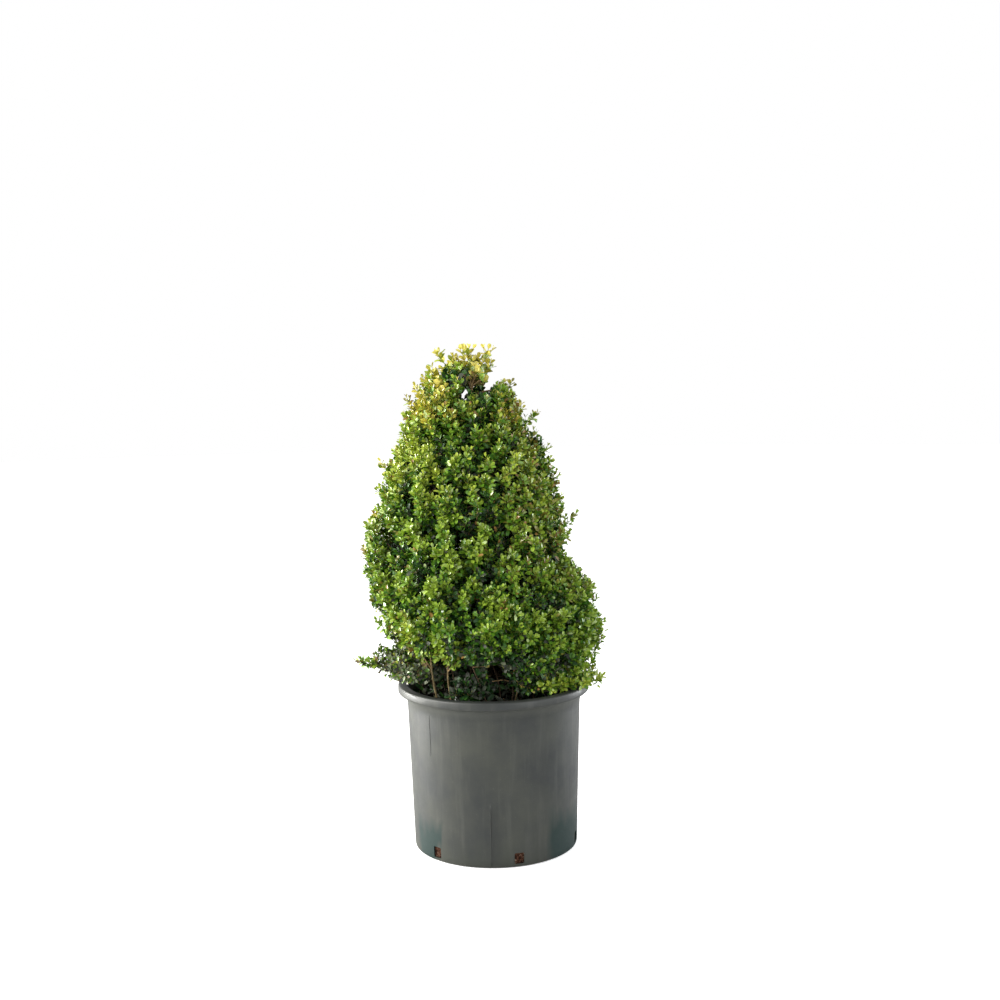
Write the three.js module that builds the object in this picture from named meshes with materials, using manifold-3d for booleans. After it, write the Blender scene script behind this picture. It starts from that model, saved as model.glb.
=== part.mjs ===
// A boxwood clipped to a cone and grown out again, in its grey nursery pot. Millimetres, +Z up.
// The origin is the middle of the pot's flat underside. +X is the side with the wide shoulder, and -Y
// is the front.
import * as THREE from "three";
import { mergeVertices } from "three/addons/utils/BufferGeometryUtils.js";
import Module from "manifold-3d";

const wasm = await Module();
wasm.setup();
const { Manifold, Mesh: SolidMesh } = wasm;

// Pot
const POT_HEIGHT = 305;
const RIM_RADIUS = 177.5;
const RIM_DROP = 14;
const WALL_TOP_RADIUS = 161;
const WALL_FOOT_RADIUS = 151.5;
const WALL = 2.6;
const POT_FLOOR = 3;
const EDGE = 1.5;
const POT_SIDES = 48;
const DRAIN_COUNT = 6;
const DRAIN_WIDTH = 18;
const DRAIN_LOW = 6;
const DRAIN_HIGH = 26;
const DRAIN_FIRST_DEG = -74.5;

// Potting soil, highest in the middle
const SOIL_EDGE_Z = 272;
const SOIL_CROWN_Z = 278;
const SOIL_FLAT_RADIUS = 34;

// Gaps between limbs, and between masses of foliage
const CLEAR = 0.3;
const SEAM = 1;

// Edges that a join leaves shorter than FINEST are closed up, and corners nearer than MERGE are one
const FINEST = 0.01;
const MERGE = 1e-3;

// Trunk: it stands on the soil, leans to the left and runs up inside the foliage
const TRUNK_TIP_Z = 849;
const TRUNK_RADIUS = 11;
const TRUNK_TIP_RADIUS = 2.2;
const ROOT_FLARE = 0.75;
const ROOT_FLARE_SHARE = 0.035;
const TRUNK_SIDES = 9;
const TRUNK_STEPS = 14;
const LIMB_SIDES = 6;
const LIMB_STEPS = 5;

// Crown: the foliage's outer surface, as [height, radius] about an upright line at CROWN_X
const CROWN_X = -39;
const CONE = [
  [385, 138], [412, 164], [445, 186], [482, 195], [525, 195], [580, 186], [640, 173],
  [690, 162], [730, 146], [765, 128], [800, 115], [843, 95], [860, 82], [892, 55], [925, 20],
];
// The lower crown stands out into a wide shoulder on the right. It hangs lower there and at the back.
const FOOT_Z = 384;
const SHOULDER = {
  middle: -14, half: 95, drop: 56,
  profile: [[314, 205], [340, 224], [365, 234], [400, 244], [435, 240], [470, 226], [525, 194]],
};
const BACK = {
  middle: 95, half: 75, drop: 62,
  profile: [[322, 146], [350, 166], [380, 182], [420, 194], [482, 198], [525, 195]],
};

// The outer surface swells and sinks by this share of its radius, in two waves that wind around the crown
const LUMPS = 0.03;
const LUMP_WAVES = [
  { turns: 3, pitch: 61, size: 1, shift: 0 },
  { turns: 5, pitch: -37, size: 0.7, shift: 1.3 },
];

// Heights where one mass of foliage ends and the next starts. Past the cores that border rises with
// the shoots.
const LOWER_Z = 524;
const MIDDLE_Z = 688;
const UPPER_Z = 847;
const SEAM_SLOPE = 0.4;

// Leaves and twigs of the solids: larger than life, so that a few hundred fill the crown
const CORE_DEPTH = 21;
const CORE_SIDES = 20;
const CORE_RING_HEIGHT = 38;
const SHOOT_SINK = 6;
const TIP_INSET = 15;
const LEAF_WIDTH_SHARE = 0.56;
const LEAF_THICK_SHARE = 0.035;
const LEAF_BROADEST = 0.56;
const LEAF_ANGLE_DEG = 60;
const LEAF_ANGLE_SPREAD = 16;
const LEAF_SIZE_SPREAD = 0.3;
const TWIG_RADIUS = 1.5;
const TWIG_TIP_RADIUS = 0.8;

// How far chance turns a shoot about its stem's azimuth, and its slope, in degrees
const SHOOT_DEG_SPREAD = 6;
const SHOOT_TIP_SPREAD = 8;
const SHOOT_RISE_SPREAD = 14;

// Room that leaves and twigs keep from a limb, the pot, the soil and their own mass's core
const LIMB_ROOM = 1.5;
const RIM_ROOM = 1.5;
const WALL_ROOM = 2;
const SOIL_ROOM = 1;
const CORE_ROOM = 3;

// The corner of a leaf's geometry that is its tip
const LEAF_TIP = 2;
const GOLDEN_TURN = (3 - Math.sqrt(5)) / 2;

const COLOURS = {
  pot: { color: 0x6a6c69, roughness: 0.5, metalness: 0 },
  soil: { color: 0x2b211a, roughness: 1, metalness: 0 },
  bark: { color: 0x7a6547, roughness: 0.9, metalness: 0 },
  leafYoung: { color: 0x9aa62f, roughness: 0.5, metalness: 0 },
  leaf: { color: 0x5c8426, roughness: 0.45, metalness: 0 },
  leafShade: { color: 0x34482a, roughness: 0.5, metalness: 0 },
};

const { degToRad, radToDeg, lerp, clamp, euclideanModulo } = THREE.MathUtils;
const vec = (x, y, z) => new THREE.Vector3(x, y, z);

// Solids and meshes

function toSolid(geometry) {
  const bare = geometry.index ? geometry.toNonIndexed() : geometry.clone();
  for (const name of Object.keys(bare.attributes)) {
    if (name !== "position") bare.deleteAttribute(name);
  }
  const merged = mergeVertices(bare, MERGE);
  const corners = merged.index.array;
  const kept = [];
  for (let i = 0; i < corners.length; i += 3) {
    const [a, b, c] = [corners[i], corners[i + 1], corners[i + 2]];
    if (a !== b && b !== c && c !== a) kept.push(a, b, c);
  }
  const vertProperties = merged.attributes.position.array;
  const triVerts = new Uint32Array(kept);
  return new Manifold(new SolidMesh({ numProp: 3, vertProperties, triVerts, tolerance: FINEST }));
}

// Solids joined into one
const joined = (solids) => solids.reduce((all, solid) => all.add(solid));

// The largest body of a solid: a loose scrap is dropped, and a sealed hollow is filled.
function largestBody(solid) {
  return solid.decompose().reduce((best, body) => (body.volume() > best.volume() ? body : best));
}

function toMesh(name, solid, look) {
  const made = largestBody(solid).getMesh();
  const geometry = new THREE.BufferGeometry();
  geometry.setAttribute("position", new THREE.BufferAttribute(new Float32Array(made.vertProperties), 3));
  geometry.setIndex(new THREE.BufferAttribute(new Uint32Array(made.triVerts), 1));
  geometry.computeVertexNormals();
  const mesh = new THREE.Mesh(geometry, new THREE.MeshStandardMaterial(COLOURS[look]));
  mesh.name = name;
  return mesh;
}

function lathe(profile) {
  const points = profile.map(([r, z]) => new THREE.Vector2(r, z));
  return toSolid(new THREE.LatheGeometry(points, POT_SIDES).rotateX(Math.PI / 2));
}

// Random numbers that are the same on every run

function randomFrom(seed) {
  let state = seed >>> 0;
  return () => {
    state = (state + 0x6d2b79f5) >>> 0;
    let t = Math.imul(state ^ (state >>> 15), state | 1);
    t = (t + Math.imul(t ^ (t >>> 7), t | 61)) ^ t;
    return ((t ^ (t >>> 14)) >>> 0) / 4294967296;
  };
}

// Pot and soil

function wallRadius(z) {
  return lerp(WALL_FOOT_RADIUS, WALL_TOP_RADIUS, z / (POT_HEIGHT - RIM_DROP));
}

function pot() {
  const plate = POT_HEIGHT - WALL;
  const skirt = POT_HEIGHT - RIM_DROP;
  const mouth = wallRadius(POT_HEIGHT) - WALL;
  const body = lathe([
    [0, 0], [WALL_FOOT_RADIUS - 2 * EDGE, 0], [wallRadius(2 * EDGE), 2 * EDGE],
    [wallRadius(plate), plate], [RIM_RADIUS - WALL, plate], [RIM_RADIUS - WALL, skirt],
    [RIM_RADIUS, skirt], [RIM_RADIUS, POT_HEIGHT - EDGE], [RIM_RADIUS - EDGE, POT_HEIGHT],
    [mouth, POT_HEIGHT], [wallRadius(POT_FLOOR) - WALL, POT_FLOOR], [0, POT_FLOOR],
  ]);
  return body.subtract(joined(drainHoles()));
}

function drainHoles() {
  const holes = [];
  for (let i = 0; i < DRAIN_COUNT; i++) {
    const hole = new THREE.BoxGeometry(4 * WALL, DRAIN_WIDTH, DRAIN_HIGH - DRAIN_LOW);
    hole.translate(WALL_FOOT_RADIUS, 0, (DRAIN_LOW + DRAIN_HIGH) / 2);
    hole.rotateZ(degToRad(DRAIN_FIRST_DEG + (i * 360) / DRAIN_COUNT));
    holes.push(toSolid(hole));
  }
  return holes;
}

const soilSide = (z) => wallRadius(z) - WALL - CLEAR;

function soil() {
  const low = POT_FLOOR + CLEAR;
  return lathe([
    [0, low], [soilSide(low), low], [soilSide(SOIL_EDGE_Z), SOIL_EDGE_Z],
    [SOIL_FLAT_RADIUS, SOIL_CROWN_Z], [0, SOIL_CROWN_Z],
  ]);
}

function soilHeight(x, y) {
  const share = (Math.hypot(x, y) - SOIL_FLAT_RADIUS) / (soilSide(SOIL_EDGE_Z) - SOIL_FLAT_RADIUS);
  return lerp(SOIL_CROWN_Z, SOIL_EDGE_Z, clamp(share, 0, 1));
}

// Trunk, boughs and stems

// Every limb as a path and its radius at each share of the path's length
const LIMBS = {
  trunk: {
    points: [[-8, 6, 0], [-9, 6, 300], [-16, 4, 400], [-34, -3, 560], [-42, 3, 710], [-34, 0, TRUNK_TIP_Z]],
  },

  // Boughs leave the trunk low down and end where they enter the foliage.
  bough_left: { points: [[-10, 6, 308], [-52, 0, 350], [-98, -8, 392]], from: 6.5, to: 4.6 },
  bough_right: { points: [[-8, 6, 312], [36, 2, 326], [84, -10, 341]], from: 6.5, to: 4.6 },
  bough_back: { points: [[-9, 8, 316], [-14, 44, 338], [-22, 84, 362]], from: 6, to: 4.2 },
  bough_front: { points: [[-9, 4, 322], [-28, -44, 356], [-48, -84, 392]], from: 5.5, to: 3.8 },
  bough_skirt_left: { points: [[-12, 5, 296], [-70, -20, 304], [-146, -44, 322]], from: 5, to: 3 },
  bough_skirt_right: { points: [[-4, 4, 292], [50, -20, 298], [112, -35, 309]], from: 5, to: 3 },

  // Stems come straight out of the soil and end in the foliage above them.
  stem_front_left: { points: [[-98, -84, 0], [-108, -98, 330], [-112, -108, 392]], from: 2.6, to: 1.9 },
  stem_front: { points: [[-74, -92, 0], [-81, -104, 330], [-80, -112, 392]], from: 2.4, to: 1.8 },
  stem_front_right: { points: [[34, -90, 0], [44, -96, 318], [36, -92, 338]], from: 2.6, to: 1.9 },
  stem_skirt: { points: [[-34, -80, 0], [-34, -88, 288], [-38, -94, 297]], from: 3.2, to: 2.6 },
};

// A point listed at height 0 stands on the soil.
function pathOf({ points }) {
  const onSoil = (x, y) => soilHeight(x, y) + CLEAR + 0.2;
  return new THREE.CatmullRomCurve3(points.map(([x, y, z]) => vec(x, y, z || onSoil(x, y))));
}

function radiusOf(name) {
  const { from, to } = LIMBS[name];
  if (from) return (share) => lerp(from, to, share);
  const flare = (share) => 1 + ROOT_FLARE * Math.exp(-share / ROOT_FLARE_SHARE);
  return (share) => lerp(TRUNK_RADIUS, TRUNK_TIP_RADIUS, share) * flare(share);
}

// A tapering limb: a cylinder bent along its path, with a level foot. grow thickens it, for cutting
// clear of it.
function limb(name, grow = 0) {
  const [sides, steps] = name === "trunk" ? [TRUNK_SIDES, TRUNK_STEPS] : [LIMB_SIDES, LIMB_STEPS];
  const path = pathOf(LIMBS[name]);
  const radiusAt = radiusOf(name);
  const levelFoot = LIMBS[name].points[0][2] === 0;
  const geometry = new THREE.CylinderGeometry(1, 1, 1, sides, steps);
  const frames = path.computeFrenetFrames(steps, false);
  const position = geometry.attributes.position;
  for (let i = 0; i < position.count; i++) {
    const share = position.getY(i) + 0.5;
    const step = Math.round(share * steps);
    const radius = radiusAt(share) + grow;
    const point = path.getPointAt(share);
    const axisZ = point.z;
    point.addScaledVector(frames.normals[step], position.getX(i) * radius);
    point.addScaledVector(frames.binormals[step], -position.getZ(i) * radius);
    position.setXYZ(i, point.x, point.y, step === 0 && levelFoot ? axisZ : point.z);
  }
  return toSolid(geometry);
}

// Crown surface

function profileAt(table, z) {
  const last = table.length - 1;
  if (z <= table[0][0]) return table[0][1];
  if (z >= table[last][0]) return table[last][1];
  const i = table.findIndex(([height]) => height > z) - 1;
  return lerp(table[i][1], table[i + 1][1], (z - table[i][0]) / (table[i + 1][0] - table[i][0]));
}

// 1 in the middle of a range of azimuths, falling smoothly to 0 at its ends
function bell(deg, { middle, half }) {
  const off = Math.abs(euclideanModulo(deg - middle + 180, 360) - 180) / half;
  return off < 1 ? Math.cos((off * Math.PI) / 2) ** 1.3 : 0;
}

// The crown's outer radius about its own line, at a height and an azimuth in degrees from +X
function crownRadius(z, deg) {
  const cone = profileAt(CONE, z);
  const bulge = (part) => Math.max(0, profileAt(part.profile, z) - cone) * bell(deg, part);
  const grown = z < LOWER_Z ? Math.max(bulge(SHOULDER), bulge(BACK)) : 0;
  const wave = ({ turns, pitch, size, shift }) => size * Math.sin(degToRad(turns * deg) + z / pitch + shift);
  return (cone + grown) * (1 + LUMPS * (wave(LUMP_WAVES[0]) + wave(LUMP_WAVES[1])));
}

// The height of the crown's underside at an azimuth
function crownFoot(deg) {
  return FOOT_Z - Math.max(SHOULDER.drop * bell(deg, SHOULDER), BACK.drop * bell(deg, BACK));
}

function aroundCrown(z, deg, radius) {
  return vec(CROWN_X + radius * Math.cos(degToRad(deg)), radius * Math.sin(degToRad(deg)), z);
}

const azimuth = (point) => radToDeg(Math.atan2(point.y, point.x - CROWN_X));
const reachOf = (point) => Math.hypot(point.x - CROWN_X, point.y);

// The border over (or under) a mass at a point: level above the cores, and rising outwards past them
function borderAt(z, point) {
  return z + SEAM_SLOPE * Math.max(0, reachOf(point) - crownRadius(z, azimuth(point)) + CORE_DEPTH);
}

// Masses with a core: the clipped cone's upper and middle parts, and its lower part in three sectors
// down to its foot. sector is the range of azimuths, reach the height of the highest shoot where it isn't
// high, and rise the shoots' slope in degrees at the mass's foot and head.
const MASSES = {
  crown_upper: {
    low: MIDDLE_Z, high: UPPER_Z, reach: 856, rise: [24, 56],
    shoots: 21, leaf: 40, look: "leafYoung", seed: 111,
  },
  crown_middle: {
    low: LOWER_Z, high: MIDDLE_Z, rise: [14, 34],
    shoots: 24, leaf: 46, look: "leaf", seed: 1012,
  },
  crown_lower_left: {
    high: LOWER_Z, sector: [130, 280], rise: [2, 24],
    shoots: 14, leaf: 46, look: "leaf", seed: 113,
  },
  crown_lower_right: {
    high: LOWER_Z, sector: [-80, 50], rise: [-8, 26],
    shoots: 17, leaf: 44, look: "leaf", seed: 214,
  },
  crown_lower_back: {
    high: LOWER_Z, sector: [50, 130], rise: [-4, 24],
    shoots: 9, leaf: 46, look: "leaf", seed: 15,
  },
};
const lowOf = (mass, deg) => mass.low ?? crownFoot(deg);

// Shoots that stand out of a mass further than the rest, as the root's and the tip's [x, y, z]
const LONG_SHOOTS = {
  crown_upper: [
    [[-104, 6, 796], [-120, 4, 856]],
    [[-112, -10, 776], [-140, -16, 812]],
    [[36, 14, 786], [44, 16, 842]],
    [[48, -6, 766], [80, -10, 796]],
  ],
  crown_middle: [
    [[116, 0, 574], [136, -6, 606]],
    [[-166, -20, 650], [-190, -26, 700]],
    [[90, -20, 660], [104, -22, 706]],
  ],
  crown_lower_left: [
    [[-204, -30, 484], [-222, -36, 506]],
    [[-176, -44, 408], [-196, -56, 402]],
  ],
  crown_lower_right: [
    [[164, -40, 350], [186, -46, 340]],
    [[106, -94, 344], [128, -112, 336]],
  ],
};

// Open sprays, with no core: a stem goes on from its limb's tip and forks into twigs
const SPRAYS = {
  crown_tip: {
    limb: "trunk", fork: [-34, 0, 861], leaf: 34, pairs: 3, look: "leafYoung", seed: 21,
    tips: [
      [-84, -14, 888], [-56, -4, 896], [-32, 2, 900], [2, -8, 894], [-26, 40, 880], [-48, -36, 876],
    ],
    box: new THREE.Box3(vec(-112, -62, UPPER_Z + SEAM), vec(30, 62, 940)),
  },
  skirt_right: {
    limb: "bough_skirt_right", fork: [128, -40, 311], leaf: 30, pairs: 2, look: "leaf", seed: 24,
    tips: [[188, -54, 320], [162, -88, 320], [120, -104, 321], [184, -14, 318]],
    box: new THREE.Box3(vec(96, -140, 278), vec(230, 30, 327)),
  },
  skirt_front: {
    limb: "stem_skirt", fork: [-40, -98, 304], leaf: 28, pairs: 2, look: "leafShade", seed: 23,
    tips: [[-66, -126, 316], [-44, -136, 312], [-20, -118, 318]],
    box: new THREE.Box3(vec(-96, -152, 278), vec(8, -78, 330)),
  },
};

// The low clump on the left, shaded and partly dead, that lies over the rim: a flattened core with
// shoots around it, and one long sprig
const SKIRT = {
  middle: vec(-146, -48, 346), half: vec(52, 60, 27), shoots: 10, reach: 20, leaf: 36, seed: 22,
  box: new THREE.Box3(vec(-275, -150, 307), vec(-84, 70, 383)),
};
const SPRIG = { root: vec(-188, -52, 346), tip: vec(-238, -60, 350), pairs: 3, leaf: 26, bare: 18 };

// Leaves and shoots

// A leaf of 8 faces: a thin blade, broadest past its middle, with its root at the base point
function leafBlade(base, blade, face, length) {
  const geometry = new THREE.OctahedronGeometry(1);
  geometry.scale(length / 2, (length * LEAF_WIDTH_SHARE) / 2, (length * LEAF_THICK_SHARE) / 2);
  geometry.translate(length / 2, 0, 0);
  const position = geometry.attributes.position;
  for (let i = 0; i < position.count; i++) {
    const middle = Math.abs(position.getX(i) - length / 2) < 1e-3;
    if (middle) position.setX(i, length * LEAF_BROADEST);
  }
  const across = face.clone().cross(blade).normalize();
  const up = blade.clone().cross(across).normalize();
  return geometry.applyMatrix4(new THREE.Matrix4().makeBasis(blade, across, up).setPosition(base));
}

function twigBetween(from, to, radius = TWIG_RADIUS, tipRadius = TWIG_TIP_RADIUS) {
  const length = from.distanceTo(to);
  const geometry = new THREE.CylinderGeometry(tipRadius, radius, length, 3, 1);
  geometry.translate(0, length / 2, 0);
  const along = to.clone().sub(from).normalize();
  geometry.applyQuaternion(new THREE.Quaternion().setFromUnitVectors(vec(0, 1, 0), along));
  return geometry.translate(from.x, from.y, from.z);
}

// A shoot is a twig with leaves in crossed pairs, from bareLength up to its tip, and one leaf at the tip.
function shootParts(from, to, { leaf, pairs = 2 }, bareLength, random) {
  const length = from.distanceTo(to);
  const along = to.clone().sub(from).normalize();
  const level = Math.abs(along.z) > 0.98 ? vec(1, 0, 0) : vec(0, 0, 1).cross(along).normalize();
  const side = level.applyAxisAngle(along, (random() - 0.5) * 1.2);
  const parts = [twigBetween(from, to)];
  for (let pair = 0; pair < pairs; pair++) {
    const share = pairs > 1 ? pair / (pairs - 1) : 0.5;
    const base = from.clone().addScaledVector(along, lerp(bareLength, length - 0.12 * leaf, share));
    for (const out of [side.clone(), side.clone().negate()]) {
      const angle = degToRad(LEAF_ANGLE_DEG + LEAF_ANGLE_SPREAD * (random() - 0.5));
      const blade = along.clone().multiplyScalar(Math.cos(angle)).addScaledVector(out, Math.sin(angle));
      const size = leaf * (1 + LEAF_SIZE_SPREAD * (random() - 0.5)) * (1 - 0.1 * pair);
      parts.push(leafBlade(base, blade, along.clone().addScaledVector(out, -0.6), size));
    }
    side.applyAxisAngle(along, Math.PI / 2);
  }
  const tipBase = to.clone().addScaledVector(along, -0.06 * leaf);
  parts.push(leafBlade(tipBase, along, side.addScaledVector(along, 0.3), leaf * 0.85));
  return parts;
}

// What keeps a mass to its own space

const limbPoints = Object.keys(LIMBS).flatMap((name) => {
  const path = pathOf(LIMBS[name]);
  const radiusAt = radiusOf(name);
  const shares = Array.from({ length: 61 }, (_, i) => i / 60);
  return shares.map((share) => ({ at: path.getPointAt(share), radius: radiusAt(share) + LIMB_ROOM }));
});

const clearOfLimbs = (point) => limbPoints.every(({ at, radius }) => at.distanceTo(point) > radius);

function clearOfPot(point) {
  const out = Math.hypot(point.x, point.y);
  if (point.z > POT_HEIGHT + RIM_ROOM) return true;
  if (out > RIM_RADIUS + RIM_ROOM) return true;
  return out < wallRadius(point.z) - WALL - WALL_ROOM && point.z > soilHeight(point.x, point.y) + SOIL_ROOM;
}

// How far a point is to the left of the upright plane through the crown's line at an azimuth
function leftOf(point, deg) {
  return point.y * Math.cos(degToRad(deg)) - (point.x - CROWN_X) * Math.sin(degToRad(deg));
}

function inBox(point, mass) {
  if (!mass.box.containsPoint(point)) return false;
  return mass !== SPRAYS.skirt_right || point.z < crownFoot(azimuth(point)) - SEAM;
}

function inSpace(point, mass) {
  if (mass.box) return inBox(point, mass);
  const lowest = mass.low ? borderAt(mass.low, point) + SEAM / 2 : crownFoot(azimuth(point));
  if (point.z < lowest) return false;
  if (mass.high === UPPER_Z) return point.z < UPPER_Z || !SPRAYS.crown_tip.box.containsPoint(point);
  if (point.z > borderAt(mass.high, point) - SEAM / 2) return false;
  if (!mass.sector) return true;
  const [first, last] = mass.sector;
  return leftOf(point, first) > SEAM / 2 && leftOf(point, last) < -SEAM / 2;
}

// The corners of a leaf or twig and the points between them
function samplesOf(geometry) {
  const position = geometry.attributes.position;
  const corners = Array.from({ length: position.count }, (_, i) => vec().fromBufferAttribute(position, i));
  const middles = corners.map((corner, i) => corner.clone().lerp(corners[(i + 1) % corners.length], 0.5));
  return [...corners, ...middles];
}

function fits(geometry, mass) {
  const free = (point) => inSpace(point, mass) && clearOfLimbs(point) && clearOfPot(point);
  return samplesOf(geometry).every(free);
}

// A shoot without the leaves that would leave the mass's space. Where its twig would, the whole shoot goes.
function keptParts([twig, ...leaves], mass) {
  if (!fits(twig, mass)) return [];
  const kept = leaves.filter((leaf) => fits(leaf, mass) && !buried(leaf, mass));
  return kept.length > 1 ? [twig, ...kept] : [];
}

// True for a leaf that lies back into its mass's core
function buried(leaf, mass) {
  const tip = vec().fromBufferAttribute(leaf.attributes.position, LEAF_TIP);
  if (mass.box || tip.z > mass.high) return false;
  return reachOf(tip) < coreRadius(mass, tip.z, azimuth(tip)) + CORE_ROOM;
}

// Masses of foliage

// A core's radius: the crown's, taken in by the leaves' depth, and less towards a rounded top or underside
function coreRadius(mass, z, deg) {
  const low = lowOf(mass, deg);
  const share = clamp((z - low) / (mass.high - low), 0, 1);
  const top = mass.high === UPPER_Z ? Math.sqrt(1 - 0.75 * share ** 5) : 1;
  const underside = mass.low ? 1 : lerp(0.84, 1, clamp(share * 5, 0, 1));
  return (crownRadius(z, deg) - CORE_DEPTH) * top * underside;
}

function core(mass) {
  const rings = Math.round((mass.high - lowOf(mass, 0)) / CORE_RING_HEIGHT);
  const geometry = new THREE.CylinderGeometry(1, 1, 1, CORE_SIDES, rings);
  const position = geometry.attributes.position;
  for (let i = 0; i < position.count; i++) {
    const share = position.getY(i) + 0.5;
    const deg = radToDeg(Math.atan2(-position.getZ(i), position.getX(i)));
    const reach = Math.hypot(position.getX(i), position.getZ(i));
    const low = mass.low ?? lerp(FOOT_Z, crownFoot(deg), reach);
    const z = lerp(low + SEAM / 2, mass.high - SEAM / 2, share);
    const point = aroundCrown(z, deg, reach * coreRadius(mass, z, deg));
    position.setXYZ(i, point.x, point.y, point.z);
  }
  const whole = toSolid(geometry);
  return mass.sector ? whole.intersect(wedge(mass)) : whole;
}

// The space between two upright planes through the crown's line, taken in by half the seam on each side
function wedge({ sector: [from, to], high }) {
  const low = FOOT_Z - SHOULDER.drop;
  const half = degToRad((to - from) / 2);
  const reach = 2 * SHOULDER.profile[2][1];
  const inset = SEAM / 2 / Math.sin(half);
  const corner = (side) => new THREE.Vector2(inset + reach * Math.cos(half), side * reach * Math.sin(half));
  const middle = [new THREE.Vector2(inset, 0), new THREE.Vector2(inset + reach, 0)];
  const shape = new THREE.Shape([middle[0], corner(-1), middle[1], corner(1)]);
  const prism = new THREE.ExtrudeGeometry(shape, { depth: high - low, bevelEnabled: false });
  prism.rotateZ(degToRad((from + to) / 2));
  return toSolid(prism.translate(CROWN_X, 0, low));
}

// Shoots spread evenly over a mass's part of the crown by the golden angle, each from the core up to
// the surface
function crownShoots(mass) {
  const random = randomFrom(mass.seed);
  const [from, to] = mass.sector ?? [0, 360];
  const parts = [];
  for (let i = 0; i < mass.shoots; i++) {
    const share = (i + 0.5) / mass.shoots;
    const deg = lerp(from, to, euclideanModulo(i * GOLDEN_TURN, 1)) + SHOOT_DEG_SPREAD * (random() - 0.5);
    const tipZ = lerp(lowOf(mass, deg), mass.reach ?? mass.high, share) + 8;
    const rise = degToRad(lerp(...mass.rise, share) + SHOOT_RISE_SPREAD * (random() - 0.5));
    const climb = Math.tan(rise) * (CORE_DEPTH + SHOOT_SINK - TIP_INSET);
    const rootZ = clamp(tipZ - climb, lowOf(mass, deg) + 5, mass.high - 8);
    const root = aroundCrown(rootZ, deg, coreRadius(mass, rootZ, deg) - SHOOT_SINK);
    const tipDeg = deg + SHOOT_TIP_SPREAD * (random() - 0.5);
    const tip = aroundCrown(tipZ, tipDeg, crownRadius(tipZ, tipDeg) - TIP_INSET + 5 * random());
    parts.push(...keptParts(shootParts(root, tip, mass, SHOOT_SINK + 5, random), mass));
  }
  return parts;
}

function longShoots(name, mass) {
  const random = randomFrom(mass.seed + 100);
  return (LONG_SHOOTS[name] ?? []).flatMap(([root, tip]) => {
    const bare = 0.45 * vec(...root).distanceTo(vec(...tip));
    return keptParts(shootParts(vec(...root), vec(...tip), mass, bare, random), mass);
  });
}

function denseMass(name, mass) {
  return joined([core(mass), ...[...crownShoots(mass), ...longShoots(name, mass)].map(toSolid)]);
}

function skirt() {
  const random = randomFrom(SKIRT.seed);
  const ball = new THREE.IcosahedronGeometry(1, 1).scale(...SKIRT.half).translate(...SKIRT.middle);
  const parts = [ball];
  for (let i = 0; i < SKIRT.shoots; i++) {
    const height = 1 - (2 * i + 1) / SKIRT.shoots;
    const turn = 2 * Math.PI * i * GOLDEN_TURN;
    const flat = Math.sqrt(1 - height * height);
    const out = vec(flat * Math.cos(turn), flat * Math.sin(turn), height);
    const root = out.clone().multiply(SKIRT.half).multiplyScalar(0.85).add(SKIRT.middle);
    const along = out.clone().add(vec(0, 0, 0.2)).normalize();
    const tip = root.clone().addScaledVector(along, SKIRT.reach * (0.7 + 0.5 * random()));
    parts.push(...keptParts(shootParts(root, tip, SKIRT, 0.5 * SKIRT.reach, random), SKIRT));
  }
  parts.push(...keptParts(shootParts(SPRIG.root, SPRIG.tip, SPRIG, SPRIG.bare, random), SKIRT));
  return joined(parts.map(toSolid));
}

// The stem starts at its limb's tip, and its twigs start inside its head.
function openSpray(spec) {
  const random = randomFrom(spec.seed);
  const path = pathOf(LIMBS[spec.limb]);
  const foot = path.getPointAt(1).addScaledVector(path.getTangentAt(1), CLEAR);
  const fork = vec(...spec.fork);
  const parts = [twigBetween(foot, fork, 2.2 * TWIG_RADIUS, 1.6 * TWIG_RADIUS)];
  for (const tip of spec.tips) {
    const end = vec(...tip);
    const start = fork.clone().lerp(foot, 0.15);
    parts.push(...keptParts(shootParts(start, end, spec, 0.3 * start.distanceTo(end), random), spec));
  }
  return joined(parts.map(toSolid));
}

// Assembly

function build() {
  const plant = new THREE.Group();
  const add = (name, solid, look) => plant.add(toMesh(name, solid, look));
  add("pot", pot(), "pot");
  add("soil", soil(), "soil");

  let thickened = null;
  for (const name of Object.keys(LIMBS)) {
    const solid = limb(name);
    add(name, thickened ? solid.subtract(thickened) : solid, "bark");
    thickened = thickened ? thickened.add(limb(name, CLEAR)) : limb(name, CLEAR);
  }
  for (const [name, mass] of Object.entries(MASSES)) {
    add(name, denseMass(name, mass).subtract(thickened), mass.look);
  }
  add("skirt_left", skirt().subtract(thickened), "leafShade");
  for (const [name, spec] of Object.entries(SPRAYS)) {
    add(name, openSpray(spec).subtract(thickened), spec.look);
  }
  return plant;
}

export default build();
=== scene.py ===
"""A boxwood clipped to a cone and grown out loosely, in its grey nursery pot.

The tables below are in millimetres, in the CAD model's frame: +X is the side with the wide shoulder,
-Y is the front, and Z is the height over the ground. Meshes are made in metres.
"""

import heapq
import math

import bmesh
import bpy
import numpy as np
from mathutils import Matrix, Quaternion, Vector, noise


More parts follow.
